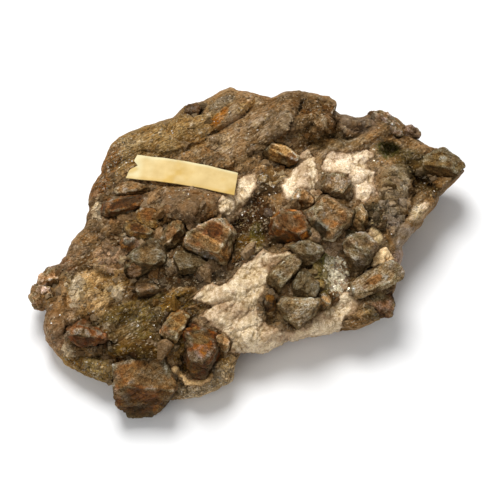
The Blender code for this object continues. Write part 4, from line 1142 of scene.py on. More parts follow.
def ledge_height(points, column, row):
    """Height of all ledges in mm, and how near each spot is to the foot of one, from 0 to 1.

    Beside the nearest point of a ledge's line, the high side adds rise x exp(-distance / reach). The
    low side takes a third as much away over a third of the reach."""
    column = column + 1.6 * lumps(points, 3.5 * MM, 46, 2)
    row = row + 1.6 * lumps(points, 3.5 * MM, 48, 2)
    height = np.zeros(len(points))
    foot = np.zeros(len(points))
    for rise, reach, line in LEDGES:
        line = np.array(line, float)
        steps = np.diff(line, axis=0)
        lengths = np.hypot(*steps.T)
        nearest = np.full(len(points), 1e9)
        side = np.zeros(len(points))
        travelled = np.zeros(len(points))
        for start, step, length, before in zip(line, steps, lengths, np.cumsum(lengths) - lengths):
            across = column - start[0]
            down = row - start[1]
            share = np.clip((across * step[0] + down * step[1]) / length ** 2, 0, 1)
            away = np.hypot(across - share * step[0], down - share * step[1])
            closer = away < nearest
            nearest = np.where(closer, away, nearest)
            side = np.where(closer, np.sign(across * step[1] - down * step[0]), side)
            travelled = np.where(closer, before + share * length, travelled)
        taper = ramp(travelled, 0, LEDGE_TAPER) * ramp(lengths.sum() - travelled, 0, LEDGE_TAPER)
        taper = taper * (nearest < 5 * reach)
        high = np.exp(-nearest / reach)
        low = -0.33 * np.exp(-3 * nearest / reach)
        height += rise * taper * np.where(side > 0, high, low)
        foot = np.maximum(foot, taper * (side < 0) * np.exp(-nearest / 2.2) * min(rise / 1.5, 1))
    return height, foot


print("ledges:", len(LEDGES), "highest:", max(ledge[0] for ledge in LEDGES), "mm")

# %% Relief of the rock
RIM_CALM = 0.45               # how much of the relief is worn off at the rim
SMOOTH_WEAR = 0.7             # how much of it is worn off the smooth faces
LAYER_STRETCH = np.array((0.17, 1.0, 0.6))
FINE_STRETCH = np.array((0.09, 1.0, 0.7))
PLATE_STRETCH = np.array((0.35, 1.2, 1.0))
# Layers of facets: size in mm, height in mm
SHEET_LAYERS = ((5.5, 1.1), (2.2, 0.75))
LEAF_LAYERS = ((3.2, 0.8), (1.5, 0.5))
ROUGH_LAYERS = ((8, 1.5), (3.4, 0.8))
CRACK_DEPTH = 0.7             # mm, before the other relief is worn


def rock_relief(points, column, row, share):
    """Height of the broken surface over the smooth skin in metres, and its share of fine sheets."""
    granular = where(column, row, GRANULAR)
    smooth = where(column, row, SMOOTH)
    fine = where(column, row, FINE) * (1 - granular)
    sheeted = (1 - granular) * (1 - SMOOTH_WEAR * smooth) * (1 - 0.6 * fine)
    bend = 0.8 * MM * lumps(points, 9 * MM, 31, 2)[:, None]
    layered = points @ LAYERING * LAYER_STRETCH + bend
    sheets = facet_layers(layered, SHEET_LAYERS, 32)
    thin = points @ LAYERING * FINE_STRETCH + bend
    leaves = facet_layers(thin, LEAF_LAYERS, 34)
    rough = facet_layers(points, ROUGH_LAYERS, 41)
    gritty = facets(points, 1.7 * MM, 43)
    relief = rough * (0.75 + 0.4 * granular) * (1 - 0.6 * fine) + sheeted * sheets + fine * leaves
    relief += (0.4 + 0.4 * granular) * (1 - 0.6 * fine) * gritty + 0.4 * lumps(points, 5 * MM, 44, 4)
    plates = facets(points @ LAYERING * PLATE_STRETCH + bend, 5.5 * MM, 45)
    relief = relief * (1 - SMOOTH_WEAR * smooth) + 0.8 * smooth * plates
    crack = 1 - ramp(np.abs(lumps(layered * 1.4, 6 * MM, 47, 3)), 0.0, 0.07)
    relief -= CRACK_DEPTH * crack * ramp(lumps(points, 12 * MM, 49, 2), -0.3, 0.3)
    relief *= 1 - RIM_CALM * ramp(share, 0.9, 1.0)
    return relief * MM, fine


print("largest facets:", ROUGH_LAYERS[0][0], "mm")

# %% [markdown]
# ## Tints of the schist
# The colour changes over the slab: brown where it is worn, rust-yellow by the upper left rim, olive
# where green mica shows, tan where quartz dust has stayed, and nearly black in the hollows, which is
# painted shade. Named ovals on the grid hold these tints, and a few painted shadows and highlights.
# Noise frays their edges, so that none of them shows as an oval.

# %% Tints of the rock
BASE_TINT = "#826442"
# Colour, column, row, half length, half width, turn in degrees, strength
TINTS = [
    ("#8f734a", 135, 150, 60, 22, 28, 0.8),    # rust-yellow slab by the upper left rim
    ("#703c06", 105, 172, 30, 10, 62, 0.6),
    ("#806134", 190, 130, 60, 20, 26, 0.6),
    ("#7e6448", 245, 118, 55, 20, 42, 0.7),
    ("#8e5713", 221, 117, 11, 4, 32, 0.8),     # iron stains behind the ridge
    ("#95713f", 246, 106, 14, 3, 35, 0.7),
    ("#5e564a", 222, 104, 16, 6, 30, 0.5),
    ("#695239", 285, 115, 34, 16, 50, 0.8),    # the ridge
    ("#795f43", 250, 140, 38, 9, 36, 0.6),
    ("#644727", 314, 122, 22, 22, 10, 0.8),    # block at the top
    # painted shade: black in the hollow beside the block
    ("#010100", 296, 112, 13, 4, 50, 0.9),
    ("#b78953", 273, 141, 12, 5, 40, 0.8),
    ("#65564b", 352, 122, 28, 10, -10, 0.8),
    ("#4e3e24", 330, 142, 30, 10, -6, 0.6),
    ("#454522", 388, 150, 13, 10, -20, 0.95),  # green-black hollow
    ("#362c0b", 410, 165, 18, 16, -40, 0.8),
    ("#9a8971", 394, 184, 14, 20, -15, 0.85),  # grey hump
    ("#332d1d", 383, 213, 20, 15, 10, 0.85),
    # painted shade in the slot under the tip
    ("#3f2a06", 424, 184, 20, 9, -35, 0.85),
    ("#70553b", 190, 202, 34, 15, 4, 0.9),     # pinkish hump under the label
    ("#2d1502", 254, 220, 26, 30, 35, 0.95),   # dark granular field
    ("#66440a", 246, 250, 22, 16, 35, 0.8),
    # dark ground, darker still with painted shade
    ("#120300", 232, 275, 30, 12, 35, 0.7),
    ("#7a5c3b", 100, 235, 20, 34, -20, 0.7),   # pinkish left edge
    ("#b48e6c", 118, 262, 22, 14, -35, 0.6),
    ("#675544", 75, 262, 18, 18, 50, 0.5),
    ("#ba9668", 92, 292, 30, 22, 10, 0.9),     # tan mound
    ("#a58a60", 80, 290, 14, 10, 20, 0.7),
    ("#8c693a", 116, 286, 16, 14, 10, 0.8),
    ("#776030", 150, 308, 50, 13, 10, 0.85),   # olive-gold band
    ("#5f4614", 170, 318, 40, 18, 30, 0.8),
    ("#4b3b16", 110, 335, 40, 16, 0, 0.6),
    ("#8c6d53", 57, 325, 14, 26, 0, 0.7),
    ("#584414", 140, 350, 40, 7, 3, 0.8),
    ("#84693a", 88, 370, 34, 14, -14, 0.9),    # olive lobe, lower left
    ("#aa9271", 215, 380, 40, 16, 18, 0.85),   # olive lobe in front
    ("#876427", 181, 358, 7, 20, 0, 0.95),
    ("#bca38c", 334, 272, 12, 20, 10, 0.9),    # silvery mica
    ("#8c793f", 322, 276, 8, 24, 8, 0.85),
    ("#2d2b13", 352, 240, 10, 12, 0, 0.7),
    ("#a39388", 404, 238, 12, 26, 30, 0.8),    # pinkish right shoulder
    ("#bca29b", 398, 262, 12, 12, 0, 0.5),
    ("#8e7a54", 384, 308, 20, 14, 0, 0.85),
    ("#bc9a6c", 272, 318, 12, 12, -30, 0.85),
    ("#bc9657", 311, 291, 15, 8, 30, 0.8),     # crust between the grey crystals
    ("#bca386", 417, 212, 9, 11, -40, 0.95),   # cream patch on the right rim
    ("#081b03", 384, 244, 6, 6, 0, 0.7),       # green mica beside it, and in other hollows
    ("#a4a05e", 322, 258, 12, 7, 0, 0.7),
    ("#5f391a", 68, 266, 9, 6, 0, 0.6),
    ("#584e1e", 256, 240, 9, 16, 0, 0.7),
    ("#1d1206", 186, 281, 42, 9, 6, 0.85),     # painted shadow of the left crystals, over dark ground
    ("#221406", 160, 322, 12, 9, 20, 0.7),     # painted shade: nearly black in two hollows
    ("#241405", 101, 345, 17, 5, -5, 0.85),
    ("#bc9875", 66, 302, 12, 18, 0, 0.75),     # pinkish flank of the mound
    ("#050100", 268, 187, 16, 10, 0, 0.7),     # upper end of the granular field
    ("#030000", 212, 162, 16, 5, 15, 0.6),     # painted shade in the hollow above the label
    ("#b99d7a", 226, 142, 10, 8, 40, 0.6),     # painted highlight on the end of the ridge
    ("#aa9277", 398, 203, 10, 9, -10, 0.7),    # foot of the grey hump
    ("#9b7436", 224, 362, 8, 8, 0, 0.6),
]
# Where cream quartz dust and grains lie in the schist
PALE_SPOTS = [(270, 177, 16, 6, 0), (101, 212, 9, 9, 0), (124, 246, 6, 18, 0), (168, 263, 6, 8, 0),
              (118, 292, 9, 9, 0), (75, 287, 9, 14, 0), (360, 195, 9, 8, 0), (312, 196, 5, 8, 0),
              (345, 226, 6, 5, 0), (417, 212, 7, 8, -40), (262, 251, 7, 4, 0),
              (68, 352, 8, 4, -30)]
# Where the colour changes from lump to lump
BLOTCHED = [(92, 292, 36, 28, 0), (104, 238, 26, 36, -20), (140, 250, 50, 44, 0), (330, 226, 56, 30, -30),
            (404, 238, 12, 26, 30), (160, 345, 60, 30, 0)]
MICA_VALLEY = (336, 276, 12, 23, 10)
MICA_SPOTS = [
    (0.40, *MICA_VALLEY), (0.015, 88, 370, 36, 16, -14), (0.02, 215, 382, 40, 16, 18),
    (0.012, 150, 312, 50, 14, 12), (0.02, 384, 156, 18, 14, -20), (0.03, 250, 235, 30, 34, 35),
    (0.02, 428, 188, 16, 8, -50), (0.01, 110, 170, 34, 12, 60), (0.02, 384, 308, 20, 14, 0)]
SPRINKLED_MICA = 0.001
print("tints:", len(TINTS), "pale spots:", len(PALE_SPOTS), "mica spots:", len(MICA_SPOTS))

# %% Colour of each point of the rock
RUST_STREAK = "#8a5a2a"
STREAK_SHARE = 0.16
QUARTZ_DUST = "#cdb694"
WEATHERED = np.array((0.98, 0.93, 0.76))      # iron in the worn surface takes blue out of every tint
RUSTING = np.array((0.3, -0.1, -0.8))         # change of hue from olive to rust, in logarithms


def tint_of_rock(points, column, row, relief, foot):
    """Linear colour at each point of the rock, with painted light and shade: hollows and the feet of ledges
    darker, high spots lighter.
    """
    frayed_column = column + 5 * lumps(points, 5 * MM, 61, 3)
    frayed_row = row + 5 * lumps(points, 5 * MM, 64, 3)
    tint = plain(BASE_TINT, len(points))
    for colour, *oval, strength in TINTS:
        tint = covered(tint, colour, ramp(mound(frayed_column, frayed_row, *oval), 0.1, 0.75) * strength)
    streaks = lumps(points @ LAYERING * np.array((0.15, 1.0, 1.0)), 1.6 * MM, 66, 2)
    tint = covered(tint, RUST_STREAK, ramp(streaks, 0.15, 0.6) * STREAK_SHARE)
    spots = where(frayed_column, frayed_row, PALE_SPOTS)
    pale = ramp(lumps(points, 1.6 * MM, 68, 2), 0.3, 0.6) * 0.3
    pale = np.maximum(pale, 0.9 * ramp(spots + 0.5 * lumps(points, 2.2 * MM, 69, 2), 0.45, 0.7))
    tint = covered(tint, QUARTZ_DUST, pale)
    hue = np.clip(lumps(points, 4.5 * MM, 71, 4), -0.2, 0.6) * np.clip(0.1 / tint.mean(axis=1), 0.2, 1)
    tint *= np.exp(hue[:, None] * RUSTING)
    blotched = where(column, row, BLOTCHED)
    _, seam, number = grains(points, 3.4 * MM, 70)
    blotch = 0.5 * (number - 0.5) - 0.35 * (1 - ramp(seam, 0.0, 0.22))
    # Painted light and shade: high spots of the relief lighter, low ones darker, the feet of the ledges
    # darker still.
    brightness = 1 + 0.3 * lumps(points, 3.5 * MM, 67, 3) + 0.8 * np.clip(relief / MM, -0.9, 0.7)
    brightness += blotch * blotched
    brightness = np.clip(brightness, 0.3, 1.8) * (1 - 0.55 * foot)
    return shaded(tint * WEATHERED, brightness)


def mica_of_rock(column, row):
    """Share of the surface that glints."""
    share = np.full(np.shape(column), SPRINKLED_MICA)
    for strength, *oval in MICA_SPOTS:
        share = np.maximum(share, strength * mound(column, row, *oval))
    return share


print("mica in the valley:", mica_of_rock(*MICA_VALLEY[:2]).round(2))

# %% [markdown]
# ## Quartz lenses: where they lie
# A lens is a part of the rock's own skin. Its outline is given on the grid. Inside it the quartz
# stands proud, because it is harder than the schist, and the schist is sunk beneath it.

# %% Outlines of the lenses
QUARTZ_RISE = 0.9 * MM
QUARTZ_BED = 2.2 * MM         # how far the schist is sunk under a lens
QUARTZ = {
    "quartz_lens_centre": [
        (191, 299), (207, 284), (226, 284), (241, 266), (256, 256), (262, 249), (275, 254),
        (290, 250), (293, 256), (270, 267), (265, 290), (258, 302), (258, 313), (272, 327),
        (290, 332), (306, 329), (315, 316), (324, 308), (337, 301), (338, 292), (349, 292),
        (361, 303), (357, 313), (345, 318), (339, 336), (300, 346), (263, 358), (243, 356),
        (231, 350), (229, 338), (200, 317), (212, 306)],
    "quartz_vein_upper_left": [
        (281, 186), (288, 176), (295, 166), (297, 157), (308, 149), (315, 158), (318, 170),
        (318, 182), (316, 196), (310, 197), (305, 190), (296, 192), (288, 202)],
    "quartz_vein_upper_right": [
        (321, 166), (325, 156), (331, 151), (343, 153), (362, 149), (373, 151), (375, 157),
        (367, 161), (368, 168), (376, 172), (373, 180), (380, 196), (371, 198), (366, 203),
        (356, 199), (352, 188), (347, 177), (337, 173), (326, 173)],
    "quartz_beside_label": [
        (216, 206), (221, 196), (234, 191), (238, 180), (245, 174), (257, 174), (257, 186),
        (249, 199), (241, 211), (228, 218), (219, 213)],
    "quartz_crescent": [
        (171, 363), (177, 365), (182, 372), (190, 379), (198, 380), (206, 376), (211, 370),
        (216, 374), (211, 382), (200, 386), (187, 386), (177, 379), (172, 371)],
    "quartz_nodule_upper": [(365, 233), (371, 226), (381, 229), (383, 240), (377, 247), (368, 242)],
    "quartz_nodule_lower": [
        (370, 262), (376, 251), (386, 247), (395, 259), (385, 266), (377, 271), (370, 269)],
}


def frayed_inside(points, column, row, outline):
    """Distance inside an outline whose edge has been roughened by a step or two."""
    fray = 1.8 * lumps(points, 2.6 * MM, 71, 3)
    return inside_outline(column, row, outline) + fray


print("lenses and nodules:", len(QUARTZ))

# %% [markdown]
# ## The rock's mesh
# A square grid covers the upper side: the square is pulled to a disc, which keeps its squares nearly
# even from the hub to the rim. Rings of points carry on from its border, down the side and across the
# underside to one last point, so that the mesh is closed.

# %% Grid of the rock
TOP_POINTS = 272              # points along each side of the square
SIDE_RINGS = 15
UNDER_RINGS = 5


def disc_grid(count):
    """Shares and angles of a square grid that is pulled to a disc.

    A point at (u, v) of the square goes to (u sqrt(1 - v v / 2), v sqrt(1 - u u / 2))."""
    line = np.linspace(-1, 1, count)
    u, v = np.meshgrid(line, line, indexing="ij")
    x = u * np.sqrt(1 - v * v / 2)
    y = v * np.sqrt(1 - u * u / 2)
    return np.minimum(np.hypot(x, y), 1), np.arctan2(y, x)


def rock_mesh():
    """Points and squares of the rock's smooth skin, and the share of each point."""
    share, angle = disc_grid(TOP_POINTS)
    index = np.arange(share.size).reshape(share.shape)
    rim_index = border(index)
    falls = np.concatenate([np.linspace(1, 1.5, SIDE_RINGS + 1)[1:],
                            np.linspace(1.5, 2, UNDER_RINGS + 1)[1:-1]])
    ring_share, ring_angle = np.meshgrid(falls, angle.ravel()[rim_index], indexing="ij")
    shares = np.concatenate([share.ravel(), ring_share.ravel()])
    angles = np.concatenate([angle.ravel(), ring_angle.ravel()])
    points = rock_skin(shares, angles)
    pole = np.array([[*points[-len(rim_index):, :2].mean(0), 0.0]])
    points = np.concatenate([points, pole])
    rings = np.arange(ring_share.size).reshape(ring_share.shape) + share.size
    walls = grid_quads(np.concatenate([rim_index[None], rings]), wrap=True)
    last = rings[-1]
    fan = np.stack([last, np.full(len(last), len(points) - 1), np.roll(last, -1)], axis=1)
    fan = np.concatenate([fan, fan[:, 2:]], axis=1)
    return points, np.concatenate([grid_quads(index), walls, fan]), np.append(shares, 2.0)


print("points round the rim:", 4 * (TOP_POINTS - 1))

# %% Build the rock
OUTSIDE = -99.0               # distance inside an outline, in grid steps, for a spot far outside
PALE_FRINGE = "#a58a68"       # schist dusted with quartz beside a lens
FRINGE_WIDTH = 3.0            # grid steps
# share of painted shade in the crevices beside the crystals
CREVICE_SHADE = 0.8
OPEN_SHARE = 0.985            # the open ground ends this far out, short of the rim
OPEN_GAP = 0.4 * MM           # and this far from a crystal


def make_rock():
    """Hand in the rock. Gives back the points, normals and tints of its open ground.

    The relief, the ledges and the crystals push it out and in, and quartz outlines sink it."""
    points, quads, share = rock_mesh()
    normals = facing(points, quads)
    column, row = grid_spot(points)
    relief, fine = rock_relief(points, column, row, share)
    ledges, foot = ledge_height(points, column, row)
    ledges *= share < 1.1
    beside, crevice = crystal_contact(points)
    quartz = np.full(len(points), OUTSIDE)
    for outline in QUARTZ.values():
        quartz = np.maximum(quartz, frayed_inside(points, column, row, outline))
    under_quartz = ramp(quartz, -1.0, 2.5) * (share < 1.25)
    push = keep_under_label(relief + ledges * MM + beside, column, row) - QUARTZ_BED * under_quartz
    tint = tint_of_rock(points, column, row, relief, foot)
    tint = covered(tint, PALE_FRINGE, 0.4 * np.exp(-(quartz / FRINGE_WIDTH) ** 2) * (share < 1.2))
    # Painted shade: the crevices beside the crystals are darkened.
    tint *= (1 - CREVICE_SHADE * crevice)[:, None]
    points = points + normals * push[:, None]
    points[:, 2] = np.maximum(points[:, 2], 0)
    mica = mica_of_rock(column, row)
    sheets = np.maximum(fine, 0.4 * (1 - where(column, row, GRANULAR)))
    grain = 0.75 + 0.25 * where(column, row, GRANULAR) - 0.3 * where(column, row, SMOOTH)
    values = {"tint": tint, "mica": mica, "sheets": sheets, "grain": grain}
    rock = make_piece("schist_rock", points, quads, SCHIST, values)
    hand_in(rock, "schist", "schist_matrix")
    open_ground = (share < OPEN_SHARE) & (under_quartz < 0.3) & (crystal_gap(points) > OPEN_GAP)
    open_ground &= inside_outline(column, row, LABEL_CORNERS) < 1
    return points[open_ground], facing(points, quads)[open_ground], tint[open_ground]


GROUND_POINTS, GROUND_NORMALS, GROUND_TINT = make_rock()
print("points of open ground:", len(GROUND_POINTS))

# %% [markdown]
# ## Grit
# Schist crumbles into angular bits, and at this size they make its surface bristle. Each bit could be
# a separate object, but thousands of objects are slow. So one bit of eight faces is stamped into a
# single mesh thousands of times, half sunk in open ground. A bit takes its tint from the ground under
# it, a little lighter or darker.

# %% Stamping small shapes
def stamp(shape, faces, places, axes):
    """Copies of a small shape: one at each place, carried along by its three axes there."""
    points = places[:, None, :] + np.einsum("tk,nkj->ntj", shape, axes)
    numbers = faces[None] + (np.arange(len(places)) * len(shape))[:, None, None]
    return points.reshape(-1, 3), numbers.reshape(-1, faces.shape[1])


def tilted_axes(normals, tilt, spread, dice):
    """Three square axes for each normal: the third is the normal, tilted at random.

    The first is the direction of the layering with a random spread."""
    up = normals + tilt * dice.normal(size=normals.shape)
    up /= np.linalg.norm(up, axis=1)[:, None]
    way = LAYERING[:, 0] + spread[:, None] * dice.normal(size=normals.shape)
    along = way - up * (way * up).sum(axis=1)[:, None]
    along /= np.linalg.norm(along, axis=1)[:, None]
    return np.stack([along, np.cross(up, along), up], axis=1)


def pick(dice, weight, count):
    """Numbers of some points of the open ground, drawn at random by their weight."""
    return dice.choice(len(GROUND_POINTS), count, replace=False, p=weight / weight.sum())


def hand_in_grit(name, points, faces, tint, grain=0.5):
    """Hand in stamped bits of rock: flat faces, and a tint on each point."""
    values = {"tint": tint, "grain": np.full(len(points), grain)}
    hand_in(make_piece(name, points, faces, SCHIST, values, smooth=False), "schist", "schist_matrix")


print("ground to stamp on:", len(GROUND_POINTS), "points")

# %% Grit
BIT_SHAPE = np.array([(1, 0, 0), (-1, 0, 0), (0, 1, 0), (0, -1, 0), (0, 0, 1), (0, 0, -1)], float)
BIT_FACES = np.array([(0, 2, 4), (2, 1, 4), (1, 3, 4), (3, 0, 4),
                      (2, 0, 5), (1, 2, 5), (3, 1, 5), (0, 3, 5)])
BITS = 16000
PALE_BIT = "#c9b698"


def make_bits():
    """Angular grit, drawn out along the layers where the rock is sheeted, stubby where it is loose."""
    dice = np.random.RandomState(11)
    column, row = grid_spot(GROUND_POINTS)
    weight = (1 - 0.95 * where(column, row, SMOOTH)) * (1 - 0.7 * where(column, row, FINE))
    chosen = pick(dice, weight, BITS)
    loose = where(column[chosen], row[chosen], GRANULAR)
    half = (0.2 + (0.4 + 0.3 * loose) * dice.rand(BITS) ** 4) * MM
    sizes = np.stack([half * (2.2 - 0.9 * loose), half, half * 0.75], axis=1)
    axes = tilted_axes(GROUND_NORMALS[chosen], 0.2 + 0.4 * loose[:, None], 0.15 + 2 * loose, dice)
    axes = axes * sizes[:, :, None]
    points, faces = stamp(BIT_SHAPE, BIT_FACES, GROUND_POINTS[chosen], axes)
    tint = GROUND_TINT[chosen] * (0.55 + 0.8 * dice.rand(BITS, 1))
    kind = dice.rand(BITS, 1)
    spots = where(column[chosen], row[chosen], PALE_SPOTS)[:, None]
    tint = np.where(kind < 0.07 + 0.5 * spots, 0.3 * tint + 0.6 * linear(PALE_BIT), tint)
    tint = np.repeat(np.where(kind > 0.88, 0.45 * tint, tint), len(BIT_SHAPE), axis=0)
    hand_in_grit("schist_bits", points, faces, tint)


make_bits()

# %% [markdown]
# ## Crumbs and chunks
# Broken pieces of rock a few millimetres large lie packed round the crystals, wedged in and half
# buried. The small ones are bent blocks of six faces. The larger ones are seen well enough to need a
# shape: each is a small box grid whose points are drawn in to ten random cuts, as a lump breaks.

# %% Crumbs
BLOCK_CORNERS = np.array(list(itertools.product((-1, 1), repeat=3)), float)
BLOCK_FACES = np.array([(0, 1, 3, 2), (4, 6, 7, 5), (0, 4, 5, 1), (2, 3, 7, 6), (0, 2, 6, 4), (1, 5, 7, 3)])
CRUMBS = 800
CRUMB_TINTS = ("#6a5842", "#57422c", "#7a6b56", "#5f3d20", "#86735a")
PALE_CRUMB = "#b8a17f"


def make_crumbs():
    """Broken pieces of rock and crystal, a few millimetres large, that lie packed round the crystals."""
    dice = np.random.RandomState(13)
    gap = crystal_gap(GROUND_POINTS)
    spots = where(*grid_spot(GROUND_POINTS), PALE_SPOTS)
    chosen = pick(dice, np.exp(-np.maximum(gap, 0) / (2.2 * MM)) + 0.02 + spots, CRUMBS)
    half = (0.5 + 1.0 * dice.rand(CRUMBS) ** 2) * MM
    sizes = half[:, None] * (0.6 + 0.6 * dice.rand(CRUMBS, 3))
    axes = tilted_axes(GROUND_NORMALS[chosen], 0.6, np.full(CRUMBS, 2.0), dice) * sizes[:, :, None]
    places = GROUND_POINTS[chosen] - GROUND_NORMALS[chosen] * half[:, None] * 0.35
    points, faces = stamp(BLOCK_CORNERS, BLOCK_FACES, places, axes)
    bend = 0.35 * np.repeat(half, len(BLOCK_CORNERS))[:, None]
    points += bend * lumps(points, 0.7 * MM, 14)[:, None]
    own = np.array([linear(colour) for colour in CRUMB_TINTS])
    tint = 0.5 * GROUND_TINT[chosen] + 0.5 * own[dice.randint(len(own), size=CRUMBS)]
    tint *= 0.6 + 0.6 * dice.rand(CRUMBS, 1)
    pale = dice.rand(CRUMBS, 1) < 0.6 * spots[chosen, None]
    tint = np.repeat(np.where(pale, linear(PALE_CRUMB), tint), len(BLOCK_CORNERS), axis=0)
    hand_in_grit("schist_crumbs", points, faces, tint)


make_crumbs()

# %% Chunks
CHUNKS = 300
CHUNK_FACES = 10
CHUNK_SPOTS = [(143, 240, 46, 40, 40), (320, 222, 54, 30, -30), (305, 285, 44, 30, 40),
               (205, 250, 40, 26, -20), (186, 336, 34, 28, -40), (110, 240, 24, 34, 0),
               (384, 213, 22, 24, 0), (394, 186, 12, 20, 0)]
CHUNK_TINTS = ("#6f5c48", "#5a4229", "#7d6a55", "#6b3f1a", "#8a7866", "#46301a")


def rim_share(column, row):
    """Distance from the hub of the grid as a share of the way to the rim."""
    dx = column - HUB[0]
    dy = HUB[1] - row
    return np.hypot(dx, dy) / rim_distance(np.arctan2(dy, dx))


def off_quartz(column, row):
    """Distance outside the nearest quartz outline in grid steps."""
    return -np.max([inside_outline(column, row, outline) for outline in QUARTZ.values()], axis=0)


def make_chunks():
    """Broken lumps of rock, wedged between the crystals: boxes of 54 squares, carried to random cuts."""
    dice = np.random.RandomState(15)
    column, row = grid_spot(GROUND_POINTS)
    gap = crystal_gap(GROUND_POINTS)
    near = np.exp(-np.maximum(gap, 0) / (3 * MM))
    weight = where(column, row, CHUNK_SPOTS) * near + 0.35 * where(column, row, CHUNK_SPOTS[-2:]) + 1e-4
    weight *= (gap > 0.8 * MM) * ramp(off_quartz(column, row), 3, 6) * (rim_share(column, row) < 0.88)
    weight *= 1 - ramp(where(column, row, [MICA_VALLEY]), 0.05, 0.3)
    chosen = pick(dice, weight, CHUNKS)
    half = (0.9 + 1.9 * dice.rand(CHUNKS) ** 2.5) * MM
    sizes = half[:, None] * (0.55 + 0.75 * dice.rand(CHUNKS, 3))
    axes = tilted_axes(GROUND_NORMALS[chosen], 0.35, np.full(CHUNKS, 0.8), dice) * sizes[:, :, None]
    places = GROUND_POINTS[chosen] - GROUND_NORMALS[chosen] * half[:, None] * 0.3
    lattice, squares = box_grid((3, 3, 3))
    cuts = dice.normal(size=(CHUNKS, CHUNK_FACES, 3))
    cuts /= np.linalg.norm(cuts, axis=2)[:, :, None]
    depths = 0.75 + 0.4 * dice.rand(CHUNKS, CHUNK_FACES)
    reach = (np.einsum("tk,nfk->ntf", lattice, cuts) / depths[:, None, :]).max(axis=2)
    bodies = lattice[None] / np.maximum(reach, 0.7)[:, :, None]
    points = (places[:, None] + np.einsum("ntk,nkj->ntj", bodies, axes)).reshape(-1, 3)
    outward = np.repeat(GROUND_NORMALS[chosen], len(lattice), axis=0)
    points += 0.35 * MM * facets(points, 1.3 * MM, 16)[:, None] * outward
    faces = (squares[None] + (np.arange(CHUNKS) * len(lattice))[:, None, None]).reshape(-1, 4)
    own = np.array([linear(colour) for colour in CHUNK_TINTS])
    tint = 0.7 * GROUND_TINT[chosen] + 0.3 * own[dice.randint(len(own), size=CHUNKS)]
    tint = np.repeat(tint * (0.7 + 0.5 * dice.rand(CHUNKS, 1)), len(lattice), axis=0)
    tint = tint * (1 + 0.6 * lumps(points, 1.2 * MM, 18, 2))[:, None]
    hand_in_grit("schist_chunks", points, faces, tint, 0.7)


make_chunks()

# %% [markdown]
# ## Mica flakes
# Mica splits into thin six-sided plates, and where they lie at the right tilt they flash. A shiny
# spot could be painted on, but only a face of its own catches the light when the specimen is turned.
# So flat plates of ten faces are stamped on open ground, most of them where the rock glitters.

# %% Mica flakes
PLATE_TURNS = np.radians(np.arange(6) * 60)
PLATE_RING = np.stack([np.cos(PLATE_TURNS), np.sin(PLATE_TURNS)], axis=1)
PLATE_SHAPE = np.concatenate([np.c_[PLATE_RING, np.full(6, level)] for level in (1.0, -1.0)])
PLATE_FACES = np.array([(0, 1, 2, 3), (3, 4, 5, 0), (9, 8, 7, 6), (6, 11, 10, 9),
                        *((k, k + 6, (k + 1) % 6 + 6, (k + 1) % 6) for k in range(6))])
FLAKES = 5500
SILVERY_MICA = "#f2e6c6"
BRONZE_MICA = "#6b5833"


def make_flakes():
    """Mica plates: bronze ones everywhere, larger silvery ones where the rock glitters."""
    dice = np.random.RandomState(12)
    column, row = grid_spot(GROUND_POINTS)
    weight = mica_of_rock(column, row)
    chosen = pick(dice, weight, FLAKES)
    silver = weight[chosen] > 0.12
    half = (0.16 + 0.22 * dice.rand(FLAKES) ** 2 + silver * (0.1 + 0.35 * dice.rand(FLAKES))) * MM
    sizes = np.stack([half, half * (0.7 + 0.3 * dice.rand(FLAKES)), half * 0.1], axis=1)
    axes = tilted_axes(GROUND_NORMALS[chosen], 0.35, np.full(FLAKES, 2.0), dice) * sizes[:, :, None]
    places = GROUND_POINTS[chosen] + GROUND_NORMALS[chosen] * (0.18 * MM * dice.rand(FLAKES, 1))
    points, faces = stamp(PLATE_SHAPE, PLATE_FACES, places, axes)
    silvery = silver | (dice.rand(FLAKES) < 0.035)
    tint = np.where(silvery[:, None], linear(SILVERY_MICA), linear(BRONZE_MICA))
    tint = np.repeat(tint * (0.6 + 0.6 * dice.rand(FLAKES, 1)), len(PLATE_SHAPE), axis=0)
    piece = make_piece("mica_flakes", points, faces, MICA, {"tint": tint}, smooth=False)
    hand_in(piece, "schist", "schist_matrix")


make_flakes()

# %% [markdown]
# ## The quartz lenses
# Each lens is a patch of the rock's skin that covers its outline. Inside the outline the patch is
# pushed out, outside it is pulled into the rock, so the line where quartz and schist meet comes from
# the two rough surfaces. A second layer under it and a wall between them close the piece.

# %% Skin of the lenses
LENS_MARGIN = 7               # how far a patch goes past its outline, in grid steps
SIDE_STEPS = 120.0            # grid steps from the rim down to the middle of the underside
LENS_TINTS = {
    "quartz_lens_centre": "#dfc8a2", "quartz_vein_upper_left": "#f6dfba",
    "quartz_vein_upper_right": "#f3dcba", "quartz_beside_label": "#f2dab2",
    "quartz_crescent": "#fdd494", "quartz_nodule_upper": "#fde7b1", "quartz_nodule_lower": "#fddca8",
}


def lens_skin(column, row):
    """Point of the rock's skin for any spot of the grid: past the rim it runs down the side."""
    dx = column - HUB[0]
    dy = HUB[1] - row
    angle = np.arctan2(dy, dx)
    reach = rim_distance(angle)
    distance = np.hypot(dx, dy)
    share = np.where(distance < reach, distance / reach, 1 + (distance - reach) / SIDE_STEPS)
    return rock_skin(share, angle)


print("patch around a lens:", LENS_MARGIN, "steps wider than its outline")

# %% Relief and tint of a lens
SUGAR_LAYERS = ((5.5, 0.7), (2.0, 0.7), (1.0, 0.8))
FRINGE_STAIN = 0.7            # stain along the line where quartz and schist meet
LENS_FRINGE = 3.0             # its width in grid steps
NODULE_FRINGE = 1.2
QUARTZ_STAIN = "#93693c"
MOST_STAINED = 0.7
CRACK_SHADE = 0.55


def lens_relief(skin):
    """Relief of the sugary surface in mm: facets, and grains of different heights with seams between."""
    _, seam, number = grains(skin, 2.1 * MM, 81)
    return facet_layers(skin, SUGAR_LAYERS, 82) + 0.4 * (number - 0.5) - 0.4 * (1 - ramp(seam, 0, 0.3))


